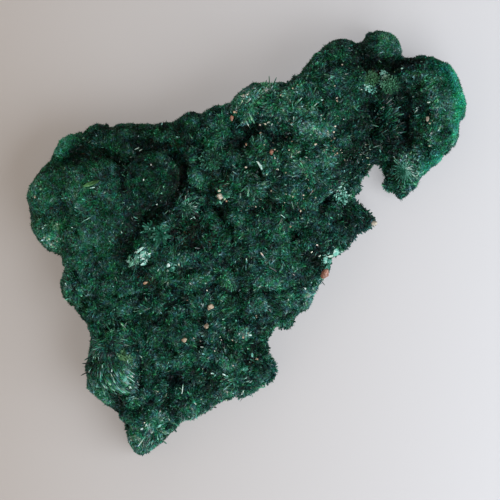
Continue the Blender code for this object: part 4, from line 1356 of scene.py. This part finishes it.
def field_tree():
    """Grows crystals of one shape over the crust, by the numbers stored on it."""
    tree = new_tree(
        "grow crystals",
        [
            ("Crystal", "Object", None),
            ("Material", "Material", None),
            ("Where", "String", "grows"),
            ("Density", "Float", 1.0),
            ("Length", "Float", 0.44 * MM),
            ("Velvet Length", "Float", 0.28 * MM),
            ("Width", "Float", 0.12 * MM),
            ("Splay", "Float", 0.7),
            ("Jitter", "Float", 0.75),
            ("Combing", "Float", 1.2),
            ("Flow", "Float", 1.0),
            ("Lying", "Float", 0.5),
            ("Edge Trim", "Float", 0.36),
            ("Velvet Share", "Float", 1.4),
            ("Shade Spread", "Float", 0.15),
            ("Tuft Spread", "Float", 0.12),
            ("Velvet Spread", "Float", 0.55),
            ("Pale Share", "Float", 0.02),
            ("Shade Shift", "Float", 0.0),
            ("Own Shade", "Float", 0.0),
            ("Root Sink", "Float", 0.12 * MM),
            ("Seed", "Int", 1),
        ],
    )
    nodes = Nodes(tree)
    given = nodes.add("NodeGroupInput").outputs

    def chance(step, low=0.0, high=1.0):
        seed = nodes.math("ADD", given["Seed"], float(step))
        node = nodes.add("FunctionNodeRandomValue", {"Seed": seed}, data_type="FLOAT")
        node.inputs[2].default_value = low
        node.inputs[3].default_value = high
        return node.outputs[1]

    velvet = nodes.stored("velvet")
    density = nodes.math("MULTIPLY", given["Density"], nodes.stored(given["Where"]))
    density = nodes.math("MULTIPLY", density, nodes.mix(velvet, 1.0, given["Velvet Share"]))
    spots = nodes.add(
        "GeometryNodeDistributePointsOnFaces",
        {"Mesh": given["Geometry"], "Density": density, "Seed": given["Seed"]},
        distribute_method="RANDOM",
    )

    # shade: the place's tone with its painted light and shade, its tuft's and its own spread, and now and then
    # a pale crystal, partly a painted highlight where a glint would be
    place = nodes.add("GeometryNodeInputPosition").outputs[0]
    tuft = nodes.split(nodes.cells(place, 1.0 / (0.5 * MM))["Color"])[0]
    spread = nodes.math("MULTIPLY", nodes.math("SUBTRACT", tuft, 0.5), given["Tuft Spread"])
    spread = nodes.math("MULTIPLY_ADD", chance(1, -0.5, 0.5), given["Shade Spread"], spread)
    spread = nodes.math("MULTIPLY", spread, nodes.mix(velvet, 1.0, given["Velvet Spread"]))
    shade = nodes.math("ADD", nodes.math("ADD", nodes.stored("tone"), spread), given["Shade Shift"])
    clump = nodes.math("SUBTRACT", nodes.noise(place, 620.0, 1.0), 0.46)
    clump = nodes.math("MULTIPLY_ADD", clump, 7.0, 0.3, clamp=True)
    share = nodes.math("ADD", nodes.math("MULTIPLY", nodes.stored("pale"), 0.4), given["Pale Share"])
    lucky = nodes.math("LESS_THAN", chance(2), nodes.math("MULTIPLY", share, clump))
    shade = nodes.mix(lucky, shade, nodes.math("ADD", chance(3, 0.0, 0.30), 0.60))
    stained = nodes.math("LESS_THAN", chance(11), nodes.math("MULTIPLY", nodes.stored("brown"), 0.7))
    shade = nodes.mix(stained, nodes.math("MAXIMUM", shade, 0.16), chance(12, 0.0, 0.12))
    shade = nodes.mix(given["Own Shade"], shade, chance(10))
    points = nodes.store(spots.outputs["Points"], "shade", shade)

    # the way each crystal stands: out of its tuft, combed, and a little at random
    normal = spots.outputs["Normal"]
    lean = nodes.stored("lean", "FLOAT_VECTOR")
    free = nodes.math("SUBTRACT", 1.0, nodes.vector("LENGTH", lean))
    free = nodes.math("MULTIPLY", free, given["Flow"])
    flow = nodes.vector("SCALE", nodes.stored("flow", "FLOAT_VECTOR"), scale=free)
    lean = nodes.vector("ADD", lean, nodes.along(normal, flow))
    lying = nodes.math("MULTIPLY", nodes.vector("LENGTH", lean), given["Lying"])
    way = nodes.vector("SCALE", normal, scale=nodes.math("SUBTRACT", 1.0, lying))
    outward = nodes.along(normal, nodes.stored("outward", "FLOAT_VECTOR"))
    way = nodes.vector("ADD", way, nodes.vector("SCALE", outward, scale=given["Splay"]))
    way = nodes.vector("ADD", way, nodes.vector("SCALE", nodes.along(normal, lean), scale=given["Combing"]))
    strays = {"X": chance(4, -1, 1), "Y": chance(5, -1, 1), "Z": chance(9, -1, 1)}
    stray = nodes.add("ShaderNodeCombineXYZ", strays)
    way = nodes.vector("ADD", way, nodes.vector("SCALE", stray.outputs[0], scale=given["Jitter"]))
    stand = nodes.add("FunctionNodeAlignRotationToVector", {"Vector": way}, axis="Z")
    spin = nodes.add("ShaderNodeCombineXYZ", {"Z": chance(6, -3.14, 3.14)})
    turn = nodes.add("FunctionNodeEulerToRotation", {"Euler": spin.outputs[0]})
    facing = nodes.add(
        "FunctionNodeRotateRotation",
        {"Rotation": stand.outputs[0], "Rotate By": turn.outputs[0]},
        rotation_space="LOCAL",
    )

    # its size
    length = nodes.mix(velvet, given["Length"], given["Velvet Length"])
    length = nodes.math("MULTIPLY", length, nodes.mix(nodes.stored("short"), 1.0, given["Edge Trim"]))
    length = nodes.math("MULTIPLY", length, chance(7, 0.55, 1.3))
    width = nodes.math("MULTIPLY", given["Width"], chance(8, 0.7, 1.35))
    size = nodes.add("ShaderNodeCombineXYZ", {"X": width, "Y": width, "Z": length})
    grown = nodes.add(
        "GeometryNodeInstanceOnPoints",
        {"Points": points, "Rotation": facing.outputs[0], "Scale": size.outputs[0]},
    )
    shape = nodes.add("GeometryNodeObjectInfo", {"Object": given["Crystal"]})
    nodes.feed(grown.inputs["Instance"], shape.outputs["Geometry"])
    # the root's depth is given in the crystal's own frame
    drop = nodes.vector("SCALE", (0.0, 0.0, -1.0), scale=given["Root Sink"])
    sunk = nodes.add("GeometryNodeTranslateInstances", {"Instances": grown.outputs[0], "Translation": drop})
    solid = nodes.add("GeometryNodeRealizeInstances", {"Geometry": sunk.outputs[0]})

    # nothing reaches under the floor
    place = nodes.add("GeometryNodeInputPosition").outputs[0]
    floor = nodes.vector("MAXIMUM", place, (-10.0, -10.0, FLOOR_CLEARANCE))
    held = nodes.add("GeometryNodeSetPosition", {"Geometry": solid.outputs[0], "Position": floor})
    pair = nodes.add("ShaderNodeCombineXYZ", {"X": nodes.stored("shade"), "Y": nodes.stored("height")})
    mapped = nodes.store(held.outputs[0], "OFBake", pair.outputs[0], "FLOAT2", "CORNER")
    nodes.put_out_solid(mapped, given["Material"])
    return tree


def grain_tree():
    """Breaks a smooth grain's surface into the faces and pits of a worn one."""
    tree = new_tree(
        "wear grain",
        [
            ("Face Size", "Float", 0.55 * MM),
            ("Face Depth", "Float", 0.16 * MM),
            ("Pit Depth", "Float", 0.07 * MM),
            ("Material", "Material", None),
        ],
    )
    nodes = Nodes(tree)
    given = nodes.add("NodeGroupInput").outputs
    place = nodes.add("GeometryNodeInputPosition").outputs[0]
    normal = nodes.add("GeometryNodeInputNormal").outputs[0]
    scaled = nodes.vector("SCALE", place, scale=nodes.math("DIVIDE", 1.0, given["Face Size"]))
    faces = nodes.math("SUBTRACT", nodes.cells(scaled, 1.0)["Distance"], 0.15)
    faces = nodes.math("MULTIPLY", faces, given["Face Depth"])
    pits = nodes.math("SUBTRACT", nodes.noise(place, 4500.0, 2.0), 0.35)
    pits = nodes.math("MULTIPLY", pits, given["Pit Depth"])
    depth = nodes.math("MULTIPLY", nodes.math("ADD", faces, pits), -1.0)
    offset = nodes.vector("SCALE", normal, scale=depth)
    moved = nodes.add("GeometryNodeSetPosition", {"Geometry": given["Geometry"], "Offset": offset})
    nodes.put_out_solid(moved.outputs[0], given["Material"])
    return tree


def keep_piece(piece, slot, *replaced):
    """Hangs the piece on the root body and hides the solids it stands for; the material slot is not used."""
    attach(piece, "root")
    if replaced:
        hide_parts(*replaced)


atacamite = colour_group()
crust_mesh = make_crust(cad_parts["crystal_crust"], crust_material(atacamite))
crust_mesh.shade_smooth()
keep_piece(link_object("crust_under_crystals", crust_mesh), "green_crystals", "crystal_crust")

needle = crystal_shape("needle", 3, 0.7, [(0.0, 1.0)], 0)
prism = crystal_shape("prism", 3, 1.0, [(0.0, 1.0), (0.86, 0.8)], -1)
blade = crystal_shape("blade", 4, 0.45, [(0.0, 1.0), (0.82, 0.86)], 0.35)
flake = crystal_shape("flake", 5, 0.16, [(0.0, 0.7), (0.5, 1.0), (0.92, 0.55)], -1)
set_attribute(flake.data, "height", [0.0] * len(flake.data.vertices))
pebble = pebble_shape("pebble", 5)
fine_material = crystal_material("fine green crystals", atacamite, 0.30, 0.25, 0.10, 0.10)
blade_material = crystal_material("glassy blade crystals", atacamite, 0.16, 0.40, 0.10, 0.32)
flakes_material = flake_material()
grit_material = sand_material()
field = field_tree()
QUICK_SHARE = 1.0

NEEDLES = {
    "Density": 16.6e6,
    "Length": 0.80 * MM,
    "Velvet Length": 0.80 * MM,
    "Width": 0.085 * MM,
    "Splay": 0.55,
    "Jitter": 0.35,
    "Combing": 1.3,
    "Lying": 0.62,
    "Shade Spread": 0.24,
    "Root Sink": 0.04 * MM,
    "Edge Trim": 0.5,
}
STUBBY = {
    "Density": 5.6e6,
    "Length": 0.55 * MM,
    "Velvet Length": 0.30 * MM,
    "Width": 0.13 * MM,
    "Splay": 0.5,
    "Jitter": 0.7,
    "Lying": 0.4,
    "Shade Spread": 0.24,
    "Velvet Share": 0.9,
    "Shade Shift": 0.02,
    "Root Sink": 0.08 * MM,
}
FIELDS = [
    # name, shape, material, and what differs from the tree's own values
    ("west_needles", needle, fine_material, dict(NEEDLES, Where="grows_west", Seed=11)),
    ("south_needles", needle, fine_material, dict(NEEDLES, Where="grows_south", Seed=12)),
    ("middle_needles", needle, fine_material, dict(NEEDLES, Where="grows_middle", Seed=13)),
    ("east_needles", needle, fine_material, dict(NEEDLES, Where="grows_east", Seed=14)),
    ("west_prisms", prism, fine_material, dict(STUBBY, Where="grows_west", Seed=31)),
    ("south_prisms", prism, fine_material, dict(STUBBY, Where="grows_south", Seed=32)),
    ("middle_prisms", prism, fine_material, dict(STUBBY, Where="grows_middle", Seed=33)),
    ("east_prisms", prism, fine_material, dict(STUBBY, Where="grows_east", Seed=34)),
    (
        "combed_blades",
        blade,
        blade_material,
        {
            "Where": "combed",
            "Density": 8.5e6,
            "Length": 1.5 * MM,
            "Velvet Length": 2.2 * MM,
            "Width": 0.14 * MM,
            "Edge Trim": 0.4,
            "Jitter": 0.09,
            "Combing": 2.8,
            "Lying": 0.84,
            "Splay": 0.0,
            "Velvet Share": 1.0,
            "Shade Spread": 0.62,
            "Tuft Spread": 0.10,
            "Velvet Spread": 1.0,
            "Shade Shift": -0.02,
            "Seed": 51,
        },
    ),
    (
        "blade_crystals",
        blade,
        blade_material,
        {
            "Density": 1.3e6,
            "Velvet Share": 0.2,
            "Length": 0.85 * MM,
            "Velvet Length": 0.45 * MM,
            "Width": 0.12 * MM,
            "Jitter": 0.7,
            "Splay": 0.4,
            "Lying": 0.5,
            "Edge Trim": 0.3,
            "Shade Shift": 0.08,
            "Shade Spread": 0.3,
            "Pale Share": 0.05,
            "Root Sink": 0.1 * MM,
            "Seed": 21,
        },
    ),
    (
        "edge_teeth",
        blade,
        fine_material,
        {
            "Where": "toothed",
            "Density": 3.2e6,
            "Length": 0.62 * MM,
            "Velvet Length": 0.6 * MM,
            "Width": 0.17 * MM,
            "Jitter": 0.35,
            "Splay": 0.1,
            "Flow": 0.0,
            "Combing": 0.0,
            "Lying": 0.0,
            "Edge Trim": 1.0,
            "Shade Shift": -0.06,
            "Seed": 81,
        },
    ),
    (
        "pale_flakes",
        flake,
        flakes_material,
        {
            "Where": "flaky",
            "Density": 7e6,
            "Velvet Share": 1.0,
            "Length": 0.62 * MM,
            "Velvet Length": 0.55 * MM,
            "Width": 0.22 * MM,
            "Jitter": 2.2,
            "Flow": 0.0,
            "Own Shade": 1.0,
            "Root Sink": -0.22 * MM,
            "Seed": 61,
        },
    ),
    (
        "sand_specks",
        pebble,
        grit_material,
        {
            "Where": "sandy",
            "Density": 0.26e6,
            "Velvet Share": 1.0,
            "Length": 0.34 * MM,
            "Velvet Length": 0.34 * MM,
            "Width": 0.32 * MM,
            "Jitter": 1.5,
            "Own Shade": 1.0,
            "Edge Trim": 1.0,
            "Root Sink": -0.26 * MM,
            "Seed": 71,
        },
    ),
]
SLOT_OF = {"sand_specks": "tan_quartz"}
for name, shape, material, values in FIELDS:
    values = dict(values, Crystal=shape, Material=material)
    if shape in (needle, prism):
        values["Density"] *= QUICK_SHARE
    mesh = run_tree(crust_mesh.copy(), field, values, name)
    for extra in STORED_ON_CRUST:
        if extra in mesh.attributes:
            mesh.attributes.remove(mesh.attributes[extra])
    keep_piece(link_object(name, mesh), SLOT_OF.get(name, "green_crystals"))
for shape in (needle, prism, blade, flake, pebble):
    bpy.data.objects.remove(shape)

# ---------------------------------------------------------------------------------------------
# The larger sand grains
# ---------------------------------------------------------------------------------------------

TAN = grain_material("tan quartz", (0.46, 0.39, 0.31), (0.33, 0.26, 0.19), (0.14, 0.11, 0.08))
PALE = grain_material("pale quartz", (0.50, 0.47, 0.40), (0.37, 0.34, 0.28), (0.18, 0.15, 0.12))
RUST = grain_material("rust quartz", (0.36, 0.20, 0.15), (0.27, 0.12, 0.08), (0.12, 0.06, 0.04))
GRAINS = {
    "tan_grain_middle": (TAN, "tan_quartz"),
    "tan_grain_south": (TAN, "tan_quartz"),
    "tan_grain_south_west": (TAN, "tan_quartz"),
    "cream_grain_hollow": (PALE, "pale_quartz"),
    "rust_grain_north": (RUST, "rust_quartz"),
    "rust_grain_middle": (RUST, "rust_quartz"),
    "rust_grain_east_edge": (RUST, "rust_quartz"),
    "pale_grain_east_tip": (PALE, "pale_quartz"),
    "pale_grain_east_lobe": (PALE, "pale_quartz"),
}
GRAIN_VOXEL = 0.06


def make_grain(node_name, material, slot, tree):
    """One grain with a worn surface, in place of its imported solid."""
    carrier = link_object("carrier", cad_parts[node_name].data.copy())
    fine = carrier.modifiers.new("fine", "REMESH")
    fine.mode = "VOXEL"
    fine.voxel_size = GRAIN_VOXEL * MM
    smooth = in_fixed_order(evaluated_mesh(carrier, node_name))
    bpy.data.objects.remove(carrier)
    mesh = run_tree(smooth, tree, {"Material": material}, node_name + "_worn")
    mesh.shade_smooth()
    keep_piece(link_object(node_name + "_worn", mesh), slot, node_name)


# ---------------------------------------------------------------------------------------------
# The single plates, blades and specks
# ---------------------------------------------------------------------------------------------

PLATE_SIDES = 7
PLATE_THICK, SCALE_THICK = 0.20, 0.09
PLATE_LIFT = 0.26  # how far a plate's middle lies over the crust
FACET_SPREAD = 0.14  # how much the facets of one plate differ in shade
ROSETTE_FADE, SCALE_FADE = 0.40, 0.12  # how much lighter a blade or a scale is at its tip
GOLDEN_TURN = 137.5  # from one scale to the next, so that no two lie in line
ABOVE_CRUST = 40


def plate_corners(draw, long_half, short_half):
    """A plate's uneven outline: round where it is wide, and with slanted ends where it is a blade."""
    corners = []
    start = draw.uniform(0, 2 * math.pi)
    square = 0.75 if long_half > 2 * short_half else 1.0
    for k in range(PLATE_SIDES):
        angle = start + 2 * math.pi * (k + draw.uniform(-0.25, 0.25)) / PLATE_SIDES
        cosine, sine = math.cos(angle), math.sin(angle)
        reach = draw.uniform(0.76, 1.12)
        corners.append(
            (
                math.copysign(abs(cosine) ** square, cosine) * long_half * reach,
                math.copysign(abs(sine) ** square, sine) * short_half * reach,
            )
        )
    return corners


def add_plate(bm, numbers, draw, middle, along, up, size, shade, kind, fade=0.0):
    """One closed plate, bevelled towards its underside, with an uneven roof of facets: its shade rises by
    the given fade from its root to its tip."""
    length, width, thick = size
    across = up.cross(along)
    corners = plate_corners(draw, length / 2, width / 2)
    rings = []
    for share, level in ((0.70, -0.5), (1.0, -0.1), (0.94, 0.2)):
        ring = []
        for a, b in corners:
            place = middle + along * a * share + across * b * share + up * thick * level
            ring.append(bm.verts.new(place * MM))
        rings.append(ring)
    ridge = middle + along * draw.uniform(-0.2, 0.2) * length + across * draw.uniform(-0.2, 0.2) * width
    peak = bm.verts.new((ridge + up * thick * 0.6) * MM)
    bm.faces.new(rings[0][::-1])
    numbers.append((shade, kind))
    for k in range(PLATE_SIDES):
        following = (k + 1) % PLATE_SIDES
        here = shade + fade * corners[k][0] / length
        for low, high in zip(rings, rings[1:]):
            bm.faces.new((low[k], low[following], high[following], high[k]))
            numbers.append((min(max(here - 0.12, 0), 1), kind))
        bm.faces.new((rings[-1][k], rings[-1][following], peak))
        numbers.append((min(max(here + draw.gauss(0, FACET_SPREAD), 0), 1), kind))


def flat_way(turn, up):
    """The way a turn in plan points, laid into the plane across the given up."""
    way = Vector((math.cos(math.radians(turn)), math.sin(math.radians(turn)), 0))
    return (way - up * way.dot(up)).normalized()


def make_plates(surface):
    """The single plates and the rosettes, as one piece of small closed solids."""
    draw = random.Random(97)
    bm = bmesh.new()
    numbers = []

    def crust_under(x, y):
        hit, normal, *_ = surface.ray_cast(Vector((x, y, ABOVE_CRUST)) * MM, Vector((0, 0, -1)))
        return (None, None) if hit is None else (hit / MM, normal)

    def seat(x, y):
        """The place and the normal of the crust there, or a little further in where there is none."""
        for aside in (0.0, 0.3, 0.6, 0.9):
            place, normal = crust_under(x - aside, y)
            if place is not None:
                return place, normal
        raise ValueError(f"no crust under ({x}, {y})")

    for x, y, length, width, turn, shade, kind in PLATES:
        place, normal = seat(x, y)
        lift = PLATE_LIFT + 0.10 * (width > 0.6)
        up = (normal + Vector((0, 0, 0.8)) + Vector((draw.gauss(0, 0.2), draw.gauss(0, 0.2), 0))).normalized()
        size = (length, width, min(PLATE_THICK, 0.8 * width))
        add_plate(bm, numbers, draw, place + up * lift, flat_way(turn, up), up, size, shade, kind)
    for x, y, radius, lift, count, inner, wide, dark, light, side, kind in ROSETTES:
        place, normal = seat(x, y)
        out = (normal + Vector((0, 0, 1.5))).normalized()
        for k in range(count):
            turn = 360 * (k + draw.uniform(-0.3, 0.3)) / count
            tier = k % 3
            reach = radius * (1.0, 0.78, 0.55)[tier] * draw.uniform(0.85, 1.1)
            slope = (0.30, 0.55, 0.95)[tier] * draw.uniform(0.8, 1.2)
            way = flat_way(turn, out)
            along = (way + out * slope).normalized()
            up = (out - along * out.dot(along)).normalized()
            start = inner * reach
            middle = place + out * lift + along * (start + reach) / 2
            size = (reach - start, radius * wide * draw.uniform(0.7, 1.3), SCALE_THICK)
            lit = 0.5 + 0.5 * math.cos(math.radians(turn - side))
            shade = dark + (light - dark) * lit * draw.uniform(0.2, 1.0)
            fade = ROSETTE_FADE * lit * (light - dark)
            add_plate(bm, numbers, draw, middle, along, up, size, shade, kind, fade)
    for x, y, radius, lift, count, wide, dark, light, rim, side, kind in SCALY:
        place, normal = seat(x, y)
        out = (normal + Vector((0, 0, 1.5))).normalized()
        for k in range(count):
            far = math.sqrt((k + 0.5) / count)
            turn = k * GOLDEN_TURN + draw.uniform(-12, 12)
            way = flat_way(turn, out)
            at = place + way * radius * far
            spot, _ = crust_under(at.x, at.y)
            if spot is None:
                continue
            at = spot * 0.6 + at * 0.4 + out * lift * (1.1 - far * far)
            along = (way + out * draw.uniform(0.15, 0.7)).normalized()
            up = (out - along * out.dot(along) + Vector([draw.gauss(0, 0.15) for _ in range(3)])).normalized()
            long = wide * draw.uniform(0.7, 1.3)
            lit = max(math.cos(math.radians(turn - side)), 0) * far**3
            shade = draw.uniform(dark, light) + rim * lit
            size = (long, long * draw.uniform(0.6, 1.0), SCALE_THICK)
            add_plate(bm, numbers, draw, at, along, up, size, shade, kind, SCALE_FADE)
    mesh = bpy.data.meshes.new("aqua_plates")
    bmesh.ops.recalc_face_normals(bm, faces=bm.faces)
    bm.to_mesh(mesh)
    bm.free()
    mapped = mesh.attributes.new("OFBake", "FLOAT2", "CORNER")
    corner_pairs = [pair for face, pair in zip(mesh.polygons, numbers) for _ in face.loop_indices]
    mapped.data.foreach_set("vector", np.array(corner_pairs, np.float32).ravel())
    mesh.materials.append(flakes_material)
    keep_piece(link_object("aqua_plates", mesh), "green_crystals")


crust_points = [vertex.co for vertex in crust_mesh.vertices]
make_plates(BVHTree.FromPolygons(crust_points, [face.vertices[:] for face in crust_mesh.polygons]))
wear = grain_tree()
for node_name, (material, slot) in GRAINS.items():
    make_grain(node_name, material, slot, wear)

# ---------------------------------------------------------------------------------------------
# Floor, light and camera
# ---------------------------------------------------------------------------------------------


FLOOR_HALF = 1.5
ROOM_COLOUR, ROOM_STRENGTH = (0.95, 0.85, 0.76, 1.0), 0.40
LAMPS = [
    # name, place, side, power, colour
    ("window", (0.22, -0.14, 0.25), 0.36, 1.95, (0.95, 0.98, 1.0)),
    ("room_fill", (-0.36, -0.16, 0.42), 0.6, 0.7, (1.0, 0.84, 0.70)),
    ("back_fill", (-0.12, 0.46, 0.34), 0.5, 0.55, (1.0, 0.93, 0.86)),
]
# the camera looks straight down: the render's side in elements, what one element covers in mm at the height
# that is fitted, and the column and row where x and y are 0
RENDER_SIDE, ELEMENT = 500, 0.16
ZERO_COLUMN, ZERO_ROW = 246, 243.5
CAMERA_HEIGHT, FITTED_HEIGHT = 0.60, 0.009
SENSOR_WIDTH = 36.0


def make_floor():
    mesh = bpy.data.meshes.new("floor")
    corners = [(x * FLOOR_HALF, y * FLOOR_HALF, 0) for x, y in ((-1, -1), (1, -1), (1, 1), (-1, 1))]
    mesh.from_pydata(corners, [], [(0, 1, 2, 3)])
    mesh.materials.append(floor_material())
    floor = link_object("floor", mesh)


def make_light():
    bpy.context.scene.view_settings.view_transform = "Standard"
    world = bpy.data.worlds.new("room")
    world.use_nodes = True
    background = world.node_tree.nodes["Background"]
    background.inputs["Color"].default_value = ROOM_COLOUR
    background.inputs["Strength"].default_value = ROOM_STRENGTH
    bpy.context.scene.world = world
    for name, place, side, power, colour in LAMPS:
        data = bpy.data.lights.new(name, "AREA")
        data.shape = "RECTANGLE"
        data.size = data.size_y = side
        data.energy = power
        data.color = colour
        lamp = link_object(name, data)
        lamp.location = place
        lamp.rotation_euler = (-Vector(place)).to_track_quat("-Z", "Y").to_euler()


def make_camera():
    data = bpy.data.cameras.new("camera")
    data.sensor_width = SENSOR_WIDTH
    data.lens = SENSOR_WIDTH * (CAMERA_HEIGHT - FITTED_HEIGHT) / (RENDER_SIDE * ELEMENT * MM)
    data.clip_start, data.clip_end = 0.01, 10.0
    camera = link_object("camera", data)
    half = RENDER_SIDE / 2
    camera.location = ((half - ZERO_COLUMN) * ELEMENT * MM, (ZERO_ROW - half) * ELEMENT * MM, CAMERA_HEIGHT)
    bpy.context.scene.camera = camera


make_floor()
make_light()
make_camera()
